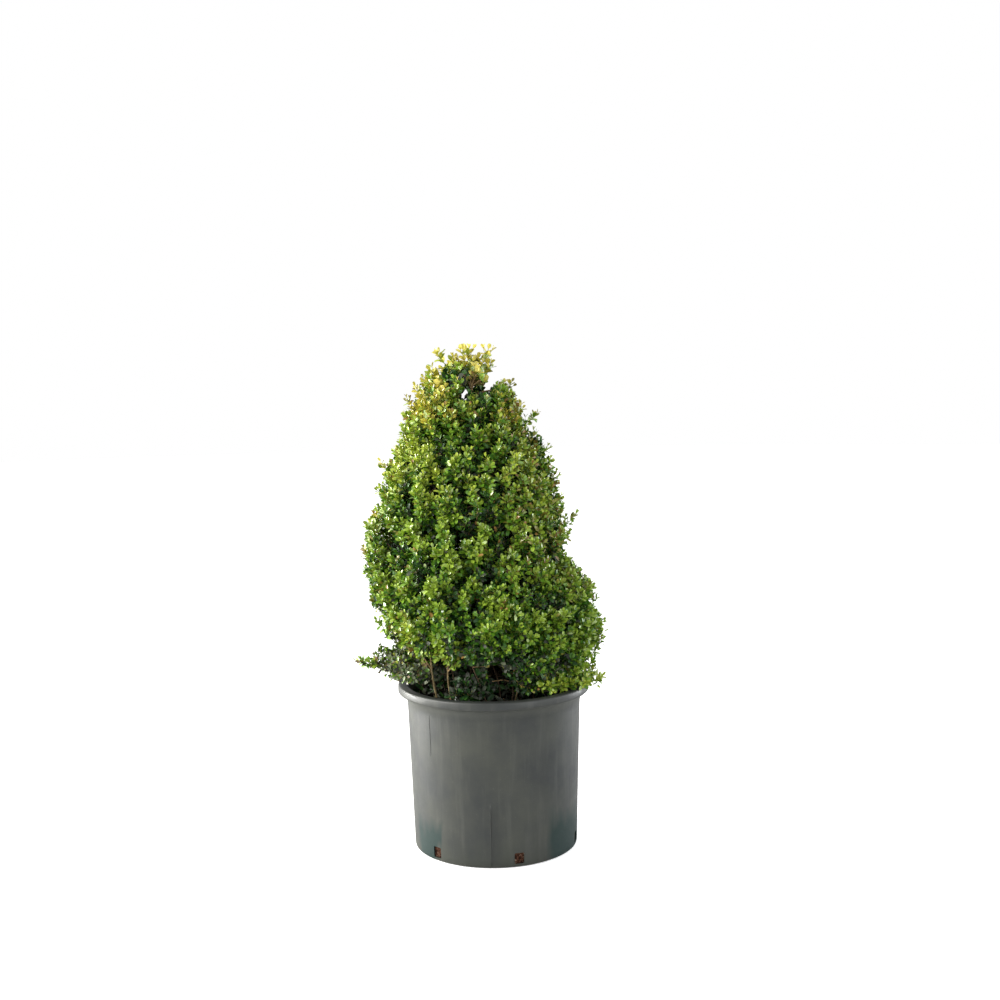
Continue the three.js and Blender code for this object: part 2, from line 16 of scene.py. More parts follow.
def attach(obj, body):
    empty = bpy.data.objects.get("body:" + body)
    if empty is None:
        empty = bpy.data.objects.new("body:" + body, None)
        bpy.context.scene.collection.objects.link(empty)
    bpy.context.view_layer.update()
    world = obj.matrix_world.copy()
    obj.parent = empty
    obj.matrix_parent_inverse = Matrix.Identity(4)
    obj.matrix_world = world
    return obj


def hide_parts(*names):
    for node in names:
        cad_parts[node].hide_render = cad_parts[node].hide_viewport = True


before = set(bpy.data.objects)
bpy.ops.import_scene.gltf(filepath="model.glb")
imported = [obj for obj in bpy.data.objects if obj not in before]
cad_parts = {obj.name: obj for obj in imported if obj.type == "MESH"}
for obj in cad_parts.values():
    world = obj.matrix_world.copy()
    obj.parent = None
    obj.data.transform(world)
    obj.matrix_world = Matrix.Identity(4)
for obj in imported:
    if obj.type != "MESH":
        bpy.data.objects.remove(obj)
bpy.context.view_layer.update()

MM = 0.001

# Pot and soil, with the gap between them
POT_HEIGHT, RIM_RADIUS, RIM_DROP, RIM_COVE = 305, 177.5, 14, 28
WALL_TOP_RADIUS, WALL_FOOT_RADIUS, WALL, POT_FLOOR = 161, 151.5, 2.6, 3
DRAIN_COUNT, DRAIN_WIDTH, DRAIN_LOW, DRAIN_HIGH, DRAIN_FIRST_DEG = 6, 18, 6, 26, -74.5
DRAIN_CORNER, DRAIN_CUT = 2.2, 4 * WALL
SOIL_EDGE_Z, SOIL_CROWN_Z, SOIL_FLAT_RADIUS, CLEAR = 272, 278, 34, 0.3

# The mould's upright seams as azimuth, lowest and highest point, with half their width at the wall and on
# top, how far they stand out and how far they are sunk in
FRONT_SEAM_DEG = -93.5
SEAMS = [(-136.5, 196, 288), (FRONT_SEAM_DEG, 4, 118), (36, 4, 288), (88, 4, 288)]
SEAM_FOOT, SEAM_TOP, SEAM_PROUD, SEAM_SUNK, SEAM_STEPS = 1.4, 0.5, 0.45, 0.15, 12

# Painted shade and reflection of grass: dark green-teal tongues at the pot's foot, as azimuth, half width in
# degrees and height
GRASS_SHADE_PATCHES = [(-143, 14, 76), (-29, 24, 86), (97, 17, 66)]

# Trunk, boughs and stems: the points of each path, and the radius at its start and end.
# A point at height 0 stands on the soil. The stems are thinner than their solids by STEM_SHARE.
ROOT_FLARE, ROOT_FLARE_SHARE = 0.75, 0.035
STEM_SHARE, LIMB_STEPS, CURVE_STEPS = 0.66, 60, 24
LIMBS = {
    "trunk": ([(-8, 6, 0), (-9, 6, 300), (-16, 4, 400), (-34, -3, 560), (-42, 3, 710), (-34, 0, 849)],
              11, 2.2),
    "bough_left": ([(-10, 6, 308), (-52, 0, 350), (-98, -8, 392)], 6.5, 4.6),
    "bough_right": ([(-8, 6, 312), (36, 2, 326), (84, -10, 341)], 6.5, 4.6),
    "bough_back": ([(-9, 8, 316), (-14, 44, 338), (-22, 84, 362)], 6, 4.2),
    "bough_front": ([(-9, 4, 322), (-28, -44, 356), (-48, -84, 392)], 5.5, 3.8),
    "bough_skirt_left": ([(-12, 5, 296), (-70, -20, 304), (-146, -44, 322)], 5, 3),
    "bough_skirt_right": ([(-4, 4, 292), (50, -20, 298), (112, -35, 309)], 5, 3),
    "stem_front_left": ([(-98, -84, 0), (-108, -98, 330), (-112, -108, 392)], 2.6, 1.9),
    "stem_front": ([(-74, -92, 0), (-81, -104, 330), (-80, -112, 392)], 2.4, 1.8),
    "stem_front_right": ([(34, -90, 0), (44, -96, 318), (36, -92, 338)], 2.6, 1.9),
    "stem_skirt": ([(-34, -80, 0), (-34, -88, 288), (-38, -94, 297)], 3.2, 2.6),
}

# Crown: its surface as (height, radius) about an upright line at CROWN_X
CROWN_X = -39
CONE = [(385, 138), (412, 164), (445, 186), (482, 195), (525, 195), (580, 186), (640, 173), (690, 162),
        (730, 146), (765, 128), (800, 115), (843, 95), (860, 82), (892, 55), (925, 20)]
FOOT_Z = 384

# Its wide shoulder and its fuller back: azimuth and half width in degrees, how much lower the crown's foot
# hangs there, and the surface as (height, radius) in the middle of the part
SHOULDER = {"middle": -14, "half": 95, "drop": 56,
            "profile": [(314, 205), (340, 224), (365, 234), (400, 244), (435, 240), (470, 226), (525, 194)]}
BACK = {"middle": 95, "half": 75, "drop": 62,
        "profile": [(322, 146), (350, 166), (380, 182), (420, 194), (482, 198), (525, 195)]}

# How uneven the surface is, where the lower and middle masses end, and the golden angle as a share of a turn
LUMPS, LOWER_Z, MIDDLE_Z, GOLDEN_TURN = 0.03, 524, 688, (3 - math.sqrt(5)) / 2

# The numbers of the lightest of the leaves' tints, and of the lightest one out of the full sun
LIGHTEST, LIGHTEST_SHADED = 8, 6

# Leaves as shares of their length: how wide, cupped and drooping they are, and how blunt their outline is
LEAF_WIDTH, TIP_LEAF_WIDTH, LEAF_CUP, LEAF_DROOP, LEAF_BLUNT = 0.59, 0.7, 0.16, 0.12, 0.8

# Masses with a dense surface of plumes. sector is the range of azimuths, rise the plumes' slope in degrees
# at the mass's foot and head, tone how light its leaves are from 0 to 1, inner the shaded plumes further in,
# under the shaded plumes that close the crown from below, and foot_stems the bare stems in the pot's mouth.
MASSES = {
    "crown_upper": {"low": MIDDLE_Z, "high": 862, "plumes": 270, "inner": 50, "rise": (44, 68), "tone": 0.56,
                    "seed": 111, "limbs": ("trunk",), "branches": 10},
    "crown_middle": {"low": LOWER_Z, "high": MIDDLE_Z, "plumes": 365, "inner": 72, "rise": (32, 50),
                     "tone": 0.53, "seed": 1012, "limbs": ("trunk",), "branches": 15},
    "crown_lower_left": {"high": LOWER_Z, "sector": (130, 280), "plumes": 190, "inner": 38, "under": 26,
                         "rise": (10, 36), "tone": 0.48, "seed": 113, "branches": 9, "foot_stems": 18,
                         "limbs": ("bough_left", "bough_front", "stem_front_left", "stem_front", "trunk")},
    "crown_lower_right": {"high": LOWER_Z, "sector": (-80, 50), "plumes": 265, "inner": 50, "under": 36,
                          "rise": (-4, 36), "tone": 0.5, "seed": 214, "branches": 11, "foot_stems": 20,
                          "limbs": ("bough_right", "bough_front", "stem_front_right", "trunk")},
    "crown_lower_back": {"high": LOWER_Z, "sector": (50, 130), "plumes": 135, "inner": 32, "under": 24,
                         "rise": (4, 34), "tone": 0.48, "seed": 15, "branches": 7, "foot_stems": 12,
                         "limbs": ("bough_back", "trunk")},
}

# Tips of the shoots that stand out of a mass further than the rest
PROUD_TIPS = {
    "crown_upper": [
        (-148, -8, 832), (-133, 6, 853), (-118, -4, 868), (-138, 10, 804), (44, 8, 858), (30, 4, 856),
        (88, -4, 800), (86, 8, 764), (107, -6, 740), (113, 12, 716), (-168, -6, 740), (-200, 4, 716)],
    "crown_middle": [
        (-213, -8, 620), (-222, 8, 602), (-234, -6, 558), (157, -6, 614), (134, 8, 628), (130, -10, 648),
        (122, 4, 666), (122, 0, 692), (144, -8, 580)],
    "crown_lower_left": [
        (-232, 4, 516), (-220, -30, 484), (-214, -40, 462), (-209, -56, 432), (-194, -66, 416),
        (-188, -62, 404)],
    "crown_lower_right": [
        (151, 8, 518), (178, -20, 482), (190, -24, 463), (200, -30, 402), (198, -40, 388), (182, -50, 356),
        (186, -44, 340), (122, -108, 334), (10, -122, 352)],
}

# Tips of the shoots that hang from the crown's foot in front, and of one that shuts a chink in its middle,
# with how light each is. The darkest ones are painted shade.
HANGING_TIPS = {
    "crown_middle": [(-50, -120, 646, 0.2)],
    "crown_lower_left": [
        (-72, -122, 358, 0.66), (-84, -124, 368, 0.7), (-60, -122, 378, 0.6), (-100, -120, 374, 0.62),
        (-116, -114, 386, 0.6), (-132, -104, 378, 0.66), (-92, -122, 392, 0.62), (-148, -92, 384, 0.7),
        (-160, -84, 392, 0.74), (-124, -108, 402, 0.68)],
    "crown_lower_right": [
        (-30, -124, 378, 0.5), (-6, -126, 372, 0.5), (22, -126, 372, 0.6), (50, -124, 364, 0.62),
        (74, -120, 352, 0.6), (92, -114, 328, 0.62), (106, -104, 324, 0.6), (60, -120, 334, 0.3),
        (48, -122, 322, 0.12), (66, -118, 314, 0.16), (84, -112, 312, 0.3), (36, -116, 338, 0.14),
        (56, -108, 308, 0.1), (-12, -124, 344, 0.16), (6, -128, 358, 0.18), (24, -122, 346, 0.12)],
}

# The length and the slope of the shoots that stand out
PROUD_LENGTH, PROUD_RISE_DEG = 44, 48

# The crown is in full sun left of SUNNY_X over SUNNY_Z, and over TOP_Z. Between the two of SHADY_X an open
# spray's low tips are in shade, and their leaves get darker tints: painted shade.
SUNNY_X, SUNNY_Z, TOP_Z, SHADY_X = -110, 540, 855, (-90, 8)

# Open sprays: a stem goes on from its limb's tip and forks into leaders. A fourth number makes a tip darker,
# as painted shade.
SPRAYS = {
    "crown_tip": {
        # Its high tone gives its leaves the lightest tints: gold new growth, and painted light where the sun
        # shines through them
        "limb": "trunk", "fork": (-34, 0, 861), "tone": 0.96, "leaf": 17, "side": 14, "seed": 21,
        "uneven": 0.5, "spacing": 0.58, "nodes": 2, "old_twigs": 16, "lightest": LIGHTEST,
        "fork_foot": (-31, -18, 840),
        "bare_fork": [(-45, -34, 874), (-20, -34, 872), (-8, -30, 864), (-32, -36, 870)],
        "tips": [
            (-90, -14, 911), (-62, -4, 904), (-44, -10, 917), (-34, 6, 919), (2, -6, 918), (-20, 6, 898),
            (-104, 8, 882), (-114, -6, 862), (-60, 34, 894), (-26, 42, 886), (-84, 36, 880),
            (-54, -34, 886, 0.5), (-18, -38, 882), (30, 14, 866), (6, -4, 892), (-108, -30, 860),
            (28, -26, 858), (-76, -38, 872, 0.72), (-92, -44, 856), (-58, -54, 864, 0.72), (-2, -52, 862),
            (38, 8, 856), (-100, 32, 866), (-56, 58, 862), (-8, 58, 862)]},
    "skirt_right": {
        "limb": "bough_skirt_right", "fork": (128, -40, 311), "tone": 0.66, "leaf": 13, "side": 18,
        "seed": 24, "tips": [
            (196, -56, 318), (166, -92, 318), (122, -112, 320), (190, -14, 318), (150, -64, 326),
            (140, -100, 322), (98, -126, 324), (84, -112, 330), (116, -84, 326), (170, -70, 330)]},
    "skirt_front": {
        # Its low tone deals its leaves the deep-shade tints: painted shade
        "limb": "stem_skirt", "fork": (-40, -98, 304), "tone": 0.14, "leaf": 17, "side": 20, "seed": 23,
        "tips": [(-72, -132, 314), (-46, -140, 314), (-18, -124, 318), (-54, -118, 326), (-30, -112, 322)]},
}

# The low clump on the left that lies over the rim
SKIRT = {"middle": (-146, -48, 346), "half": (47, 60, 20), "plumes": 30, "tone": 0.3, "seed": 22,
         "sprig": ((-184, -52, 350), (-249, -60, 360)), "bare_twigs": 34,
         "upright": [(-205, -50, 378), (-196, -42, 382), (-186, -58, 378), (-212, -54, 368), (-176, -50, 384),
                     (-166, -70, 380)],
         "hanging": [(-204, -56, 338), (-193, -60, 333), (-184, -72, 335)]}

# Places for dead leaves on the soil, left empty where a leaf would touch something. Chips of bark: how many
# to a square metre, their size, and how far down from the soil's edge they lie.
FALLEN_LEAVES = 220
CHIP_DENSITY, CHIP_SIZE, CHIPS_DOWN = 14000, (9, 4, 1.8), 4

# Hollows in the crown's outline: height, azimuth, depth, half height and half width in degrees
DENTS = [(548, 0, 16, 22, 40), (452, 0, 9, 26, 40), (655, 180, 10, 30, 40), (748, 180, 9, 24, 40),
         (430, 180, 14, 20, 45), (788, 0, 16, 22, 40), (850, 0, 12, 22, 60)]

# Gaps that the photo's side shows: the middle at the crown's line, half the width and height, and how far
# back the leaves are missing. THROUGH is open to the sky. The last two are the bare fork and a dark hollow.
THROUGH = 400
GAPS = [(-44, 837, 7, 4.5, THROUGH), (-40, 842, 4, 4, THROUGH), (1, 850, 7.5, 10, THROUGH),
        (11, 865, 5, 9, THROUGH), (-193, 379, 10, 5, THROUGH), (-22, 857, 13, 14, 6), (4, 318, 13, 20, 30)]
SKY_GAPS = [gap for gap in GAPS if gap[-1] == THROUGH]

# How ragged and how fine the edges of the gaps are, and the camera's place, from which they are seen
GAP_RAGGED, GAP_FINE, EYE = 0.9, 0.11, Vector((0, -2408.5, 862.9))


# Wiring of node trees


def arithmetic(operation):
    """A method that joins a value to another one by this operation"""
    return lambda self, other=0.0: self.graph.add("ShaderNodeMath", {0: self, 1: other}, operation=operation)


class Wired:
    """A value on its way through a node tree, with plain arithmetic"""

    def __init__(self, graph, socket):
        self.graph, self.socket = graph, socket

    __add__, __sub__, __mul__ = arithmetic("ADD"), arithmetic("SUBTRACT"), arithmetic("MULTIPLY")
    __truediv__, __pow__ = arithmetic("DIVIDE"), arithmetic("POWER")
    sine, at_least = arithmetic("SINE"), arithmetic("MAXIMUM")


class Graph:
    """Adds nodes to a shader's or a modifier's tree"""

    def __init__(self, tree):
        self.tree = tree

    def add(self, kind, values=None, out=0, **settings):
        """A new node's output, with values or other outputs at its inputs"""
        node = self.tree.nodes.new(kind)
        for name, value in settings.items():
            setattr(node, name, value)
        for name, value in (values or {}).items():
            if isinstance(value, Wired):
                self.join(value, node.inputs[name])
            else:
                node.inputs[name].default_value = value
        return Wired(self, node.outputs[out])

    def join(self, value, socket):
        self.tree.links.new(value.socket, socket)

    def split(self, vector):
        node = self.add("ShaderNodeSeparateXYZ", {0: vector}).socket.node
        return [Wired(self, socket) for socket in node.outputs]

    def vector(self, x, y, z):
        return self.add("ShaderNodeCombineXYZ", {0: x, 1: y, 2: z})

    def ramp(self, value, *stops):
        """value through a smooth ramp between (place, grey or colour) stops"""
        shown = self.add("ShaderNodeValToRGB", {0: value})
        ramp = shown.socket.node.color_ramp
        for _ in stops[2:]:
            ramp.elements.new(0.5)
        for element, (place, colour) in zip(ramp.elements, stops):
            element.position = place
            element.color = colour if isinstance(colour, tuple) else (colour,) * 3 + (1,)
        return shown

    def mixed(self, share, a, b):
        """Colour a where share is 0, and b where it is 1"""
        return self.add("ShaderNodeMix", {0: share, 6: a, 7: b}, out=2, data_type="RGBA")

    def tinted(self, under, over, value, *stops):
        """The colour under, with the screen colour over laid on it by value's ramp"""
        return self.mixed(self.ramp(value, *stops), under, rgb(over))

    def noisy(self, place, scale, detail, roughness):
        values = {"Vector": place, "Scale": scale, "Detail": detail, "Roughness": roughness}
        return self.add("ShaderNodeTexNoise", values)

    def camera_ray(self):
        """1 on what the camera sees itself, and 0 on what only lights it"""
        return Wired(self, self.tree.nodes.new("ShaderNodeLightPath").outputs["Is Camera Ray"])


def rgb(hexed):
    """A screen colour such as 0x6a6c69 as linear red, green, blue and alpha"""
    shares = [((hexed >> shift) & 255) / 255 for shift in (16, 8, 0)]
    return tuple(s / 12.92 if s <= 0.04045 else ((s + 0.055) / 1.055) ** 2.4 for s in shares) + (1.0,)


# Finishes


class Finish(Graph):
    """A new material's graph, with the shader's sockets that are the same all over set on the shader"""

    def __init__(self, name, **constants):
        self.material = bpy.data.materials.new(name)
        self.material.use_nodes = True
        super().__init__(self.material.node_tree)
        self.shader = self.tree.nodes["Principled BSDF"]
        for socket, value in constants.items():
            self.shader.inputs[socket.replace("_", " ")].default_value = value

    def place(self, *stretch):
        """The piece's own coordinates in metres, with each axis's detail made finer by its stretch"""
        place = self.add("ShaderNodeTexCoord", out=3)
        return self.add("ShaderNodeMapping", {"Vector": place, "Scale": stretch or (1, 1, 1)})

    def grain(self, scale, detail, roughness, *stretch):
        return self.noisy(self.place(*stretch), scale, detail, roughness)

    def driven(self, colour, rough, height, strength, distance):
        """The material, with its colour and roughness wired up, and a bump from height"""
        bump = self.add("ShaderNodeBump", {"Strength": strength, "Distance": distance, "Height": height})
        for socket, value in (("Base Color", colour), ("Roughness", rough), ("Normal", bump)):
            self.join(value, self.shader.inputs[socket])
        return self.material


def faces_azimuth(x, y, deg):
    """1 on the pot's wall at an azimuth, the cosine of the angle away from it elsewhere"""
    turn = math.radians(deg)
    return (x * math.cos(turn) + y * math.sin(turn)) / (WALL_FOOT_RADIUS * MM)


# A ramp runs from 0 to 1 in coarse steps, so heights in metres are spread before it
GRASS_SHADE_SPREAD, SEAM_SPREAD = 5, 3


def grass_shaded(look, grey, place, tongues):
    """Painted shade and reflection of grass, in dark greenish tongues up from the pot's foot"""
    x, y, z = place
    for deg, half_deg, top in GRASS_SHADE_PATCHES:
        toward = faces_azimuth(x, y, deg) - (tongues - 0.5) * 0.13
        edge, full = (math.cos(math.radians(half_deg * share)) for share in (1, 0.75))
        near = look.ramp(toward, (edge, 0.0), (full, 1.0))
        height = z + (tongues - 0.5) * -0.11
        full_to, gone_at = (share * top * MM * GRASS_SHADE_SPREAD for share in (0.6, 1.08))
        low = look.ramp(height * GRASS_SHADE_SPREAD, (full_to, 1.0), (gone_at, 0.0))
        grey = look.mixed(near * low, grey, rgb(0x152a27))
    return grey


def seamed(look, grey, place):
    """Dirt along the mould's seams, and painted shade of a flatter facet: a darker tone that fades away to
    one side of the front one
    """
    x, y, z = place
    for deg, low, high in SEAMS:
        turn = math.radians(deg)
        foot, head = low * MM * SEAM_SPREAD, high * MM * SEAM_SPREAD
        across = (x * math.sin(turn) - y * math.cos(turn)) / MM
        facing = look.ramp(faces_azimuth(x, y, deg), (0.5, 0.0), (0.6, 1.0))
        stops = (foot, 0.0), (foot + 0.01, 1.0), (head - 0.06, 1.0), (head, 0.0)
        between = look.ramp(z * SEAM_SPREAD, *stops)
        line = look.ramp(across * across, (0.25, 0.5), (1.0, 0.0))
        grey = look.mixed(line * facing * between, grey, rgb(0x2c2e2c))
        if deg == FRONT_SEAM_DEG:
            # Painted shade of a flatter facet to one side of the front seam
            facet_shade = look.ramp(across * -0.02 + 0.5, (0.5, 0.0), (0.508, 0.75), (0.95, 0.0))
            grey = look.mixed(facet_shade * facing * between, grey, rgb(0x2a2c2a))
    return grey


def pot_plastic():
    look = Finish("pot_plastic", IOR=1.5)
    place = look.split(look.place())
    z = place[2]
    grey = look.tinted(rgb(0x2f3232), 0x40423c, look.grain(9, 4, 0.6), (0.36, 0.0), (0.66, 1.0))
    grey = look.tinted(grey, 0x5f605a, look.grain(60, 3, 0.6, 1, 1, 0.08), (0.52, 0.0), (0.75, 0.26))
    grey = look.tinted(grey, 0x7c7c74, look.grain(420, 2, 0.7), (0.64, 0.0), (0.8, 0.22))

    # Splashed mud from the ground up
    tongues = look.grain(26, 3, 0.6, 1, 1, 0.25)
    grey = look.tinted(grey, 0x3a3d34, z + (tongues - 0.5) * -0.08, (0.0, 0.6), (0.03, 0.2), (0.055, 0.0))
    # Painted shade and reflection of grass at the foot, and the seams
    grey = seamed(look, grass_shaded(look, grey, place, tongues), place)

    # Painted shade on the rim's top, which dims its lit roll, and painted light on the wall where the cove
    # shades it
    grey = look.tinted(grey, 0x20221f, z, (0.296, 0.0), (0.303, 0.5))
    grey = look.tinted(grey, 0x5c5e57, z, (0.27, 0.0), (0.284, 0.5), (0.29, 0.5), (0.292, 0.0))
    rough = look.ramp(look.grain(30, 4, 0.65), (0.3, 0.38), (0.7, 0.54))
    return look.driven(grey, rough, look.grain(900, 2, 0.6), 0.12, 0.0004)


def potting_mix():
    look = Finish("potting_mix", IOR=1.3, Specular_IOR_Level=0.25)
    crumbs = look.grain(150, 5, 0.7)
    shade = look.ramp(crumbs, (0.3, rgb(0x0b0a09)), (0.5, rgb(0x171310)), (0.66, rgb(0x2a221b)),
                      (0.8, rgb(0x453a2d)))

    # Rusty and full of roots behind the drain holes
    _, _, z = look.split(look.place())
    roots = look.ramp(look.grain(260, 3, 0.6), (0.4, rgb(0x2c1a14)), (0.56, rgb(0x64402f)),
                      (0.66, rgb(0xa08a78)))
    shade = look.mixed(look.ramp(z * 10, (0.3, 1.0), (0.45, 0.0)), shade, roots)
    return look.driven(shade, look.ramp(crumbs, (0.3, 0.75), (0.8, 0.95)), crumbs, 0.9, 0.003)


def bark_chips():
    look = Finish("bark_chips", IOR=1.4, Specular_IOR_Level=0.3)
    dealt = look.grain(110, 2, 0.6)
    shade = look.ramp(dealt, (0.3, rgb(0x0f0c0a)), (0.5, rgb(0x231b15)), (0.68, rgb(0x43362a)))
    rough = look.ramp(dealt, (0.3, 0.7), (0.7, 0.9))
    return look.driven(shade, rough, look.grain(900, 3, 0.6), 0.6, 0.0005)


def bark(name, furrow, ridge, lichen, fine, on_grain=False):
    """Bark with lengthwise furrows. fine makes them narrower, for thinner wood. on_grain follows the limb."""
    look = Finish(name, IOR=1.4, Specular_IOR_Level=0.3)
    stored = look.add("ShaderNodeAttribute", out=1, attribute_name="grain") if on_grain else None
    fibres = look.noisy(stored or look.place(1, 1, 0.16), 330 * fine, 5, 0.62)
    shade = look.ramp(fibres, (0.34, rgb(furrow)), (0.62, rgb(ridge)))
    shade = look.tinted(shade, lichen, look.grain(48 * fine, 3, 0.6), (0.56, 0.0), (0.7, 0.55))
    return look.driven(shade, look.ramp(fibres, (0.3, 0.95), (0.7, 0.72)), fibres, 0.7, 0.0012 / fine)


# Leaf tints from the deepest to the lightest, and then the odd ones
LEAF_TINTS = {
    "deepest": 0x21411a, "dark": 0x2c5218, "deep": 0x3c6716, "green": 0x547e1e, "fresh": 0x709528,
    "light": 0x90aa38, "yellow_green": 0xa4b43e, "gold": 0xbeb446, "straw": 0xd6cb64, "pale": 0xb8cc84,
    "olive": 0x8c883c, "bronze": 0x957440, "old": 0x3b4034, "grey": 0x7a8366, "dead": 0x7d6a48}
PALE, OLIVE, BRONZE, OLD, GREY, DEAD = 9, 10, 11, 12, 13, 14

# The tints dealt out in deep shade, as painted shade, on old sprays and on the soil
SHADE_TINTS = (OLD, OLD, 0, 0, 1)
AGED_TINTS = (OLD, GREY, OLD, GREY, OLD, GREY, DEAD)
FALLEN_TINTS = (DEAD, OLD, OLD, GREY, OLD)

# Roughness and waxy coat of the tints from a number on: the deepest ones, the live ones and the old ones
GLOSS = {0: (0.46, 0.1), 3: (0.34, 0.45), OLD: (0.6, 0.0)}


def leaf_finishes():
    """The leaves' plain colours. Which leaf gets which is dealt out by spray."""
    finishes = []
    for number, (name, colour) in enumerate(LEAF_TINTS.items()):
        roughness, coat = GLOSS[max(first for first in GLOSS if first <= number)]
        look = Finish("leaf_" + name, Base_Color=rgb(colour), Roughness=roughness, IOR=1.45, Coat_Weight=coat,
                      Coat_Roughness=0.22)
        finishes.append(look.material)
    return finishes


# The kinds of wood that a twig can have. SHADED is a darker copy of the twig bark: painted shade.
OLD_WOOD, YOUNG, SHADED = 0, 1, 2


# Random numbers and the crown's surface, by the CAD source's rule


def random_from(seed):
    """Numbers from 0 to 1 that are the same on every run"""
    state, mask = seed, 0xFFFFFFFF

    def draw():
        nonlocal state
        state = (state + 0x6D2B79F5) & mask
        t = ((state ^ (state >> 15)) * (state | 1)) & mask
        t = ((t + (((t ^ (t >> 7)) * (t | 61)) & mask)) & mask) ^ t
        return (t ^ (t >> 14)) / 4294967296

    return draw


def lerp(a, b, share):
    return a + (b - a) * share


def clamp(value, low=0.0, high=1.0):
    return min(max(value, low), high)


def fade(value, start, full):
    """0 up to start and 1 from full on, even where full is the lower one"""
    return clamp((value - start) / (full - start))


def angle_off(deg, middle):
    """The angle from middle to deg, between -180 and 180 degrees"""
    return (deg - middle + 180) % 360 - 180


def golden_way(number):
    """x and y of one of many even directions round a circle"""
    turn = math.tau * number * GOLDEN_TURN
    return math.cos(turn), math.sin(turn)


def profile_at(table, z):
    return float(np.interp(z, [row[0] for row in table], [row[1] for row in table]))


def bell(deg, part):
    """1 in the middle of a range of azimuths, falling smoothly to 0 at its ends"""
    off = abs(angle_off(deg, part["middle"])) / part["half"]
    return math.cos(off * math.pi / 2) ** 1.3 if off < 1 else 0.0


def crown_radius(z, deg):
    cone = profile_at(CONE, z)
    grown = 0.0
    if z < LOWER_Z:
        parts = ((profile_at(part["profile"], z) - cone, bell(deg, part)) for part in (SHOULDER, BACK))
        grown = max(max(0.0, further) * share for further, share in parts)
    turn = math.radians(deg)
    lumps = math.sin(3 * turn + z / 61) + 0.7 * math.sin(5 * turn - z / 37 + 1.3)
    return (cone + grown) * (1 + LUMPS * lumps)


def crown_foot(deg):
    return FOOT_Z - max(part["drop"] * bell(deg, part) for part in (SHOULDER, BACK))


def around_crown(z, deg, radius):
    turn = math.radians(deg)
    return Vector((CROWN_X + radius * math.cos(turn), radius * math.sin(turn), z))


def wall_radius(z):
    return lerp(WALL_FOOT_RADIUS, WALL_TOP_RADIUS, z / (POT_HEIGHT - RIM_DROP))


def soil_side(z):
    return wall_radius(z) - WALL - CLEAR


def soil_height(x, y):
    share = (math.hypot(x, y) - SOIL_FLAT_RADIUS) / (soil_side(SOIL_EDGE_Z) - SOIL_FLAT_RADIUS)
    return lerp(SOIL_CROWN_Z, SOIL_EDGE_Z, clamp(share))


# Limbs as smooth paths


def smooth_path(points, steps):
    """Points evenly along a Catmull-Rom curve, its knots spaced by the root of their distance"""
    given = [Vector(p) for p in points]
    ends = [2 * given[0] - given[1], *given, 2 * given[-1] - given[-2]]
    dense = []
    for p0, p1, p2, p3 in zip(ends, ends[1:], ends[2:], ends[3:]):
        t0, t1 = 0.0, (p1 - p0).length ** 0.5
        t2 = t1 + (p2 - p1).length ** 0.5
        t3 = t2 + (p3 - p2).length ** 0.5
        for i in range(CURVE_STEPS):
            t = lerp(t1, t2, i / CURVE_STEPS)
            a1 = p0.lerp(p1, (t - t0) / (t1 - t0))
            a2 = p1.lerp(p2, (t - t1) / (t2 - t1))
            a3 = p2.lerp(p3, (t - t2) / (t3 - t2))
            b1 = a1.lerp(a2, (t - t0) / (t2 - t0))
            b2 = a2.lerp(a3, (t - t1) / (t3 - t1))
            dense.append(b1.lerp(b2, (t - t1) / (t2 - t1)))
    dense.append(given[-1].copy())
    reached = np.concatenate([[0], np.cumsum([(b - a).length for a, b in zip(dense, dense[1:])])])
    wanted = np.linspace(0, reached[-1], steps + 1)
    columns = [np.interp(wanted, reached, [p[axis] for p in dense]) for axis in range(3)]
    return [Vector(p) for p in zip(*columns)]


def limb_path(name, steps):
    points, start, end = LIMBS[name]
    on_soil = [(x, y, z or soil_height(x, y) - 1) for x, y, z in points]
    radii = [lerp(start, end, i / steps) for i in range(steps + 1)]
    if name.startswith("stem"):
        radii = [r * STEM_SHARE for r in radii]
    if name == "trunk":
        radii = [r * (1 + ROOT_FLARE * math.exp(-i / steps / ROOT_FLARE_SHARE)) for i, r in enumerate(radii)]
    return smooth_path(on_soil, steps), radii


LIMB_PATHS = {name: limb_path(name, LIMB_STEPS) for name in LIMBS}


# Growth of one mass

# The chance of a bronze leaf where nothing raises it
LEAST_BRONZED = 0.01


class Growth:
    """The twigs of one mass and its outer and inner leaves, in millimetres. New leaves go to the layer."""

    def __init__(self, seed, aged=0.0):
        self.random, self.aged, self.old_tints = random_from(seed), aged, AGED_TINTS
        self.bronzed, self.lightest = LEAST_BRONZED, LIGHTEST_SHADED
        self.twigs, self.leaves, self.layer = [], {"outer": [], "inner": []}, "outer"

    def around(self, spread):
        return spread * (self.random() - 0.5)

    def some(self, least, more):
        """least, and a random share of more"""
        return least + more * self.random()

    def leaning(self, level, up, up_spread=0):
        """A direction that differs by level to the sides and by up_spread in height"""
        x, y = self.around(level), self.around(level)
        return Vector((x, y, up + self.around(up_spread) if up_spread else up))

    def twig(self, points, start, end, wood):
        last = len(points) - 1
        self.twigs.append(([(p, lerp(start, end, i / last)) for i, p in enumerate(points)], wood))

    def leaf(self, base, blade, face, length, tint):
        if in_the_open(base + blade * length) and not in_gap(base + blade * (length / 2)):
            self.leaves[self.layer].append((base, blade, face, length, tint))


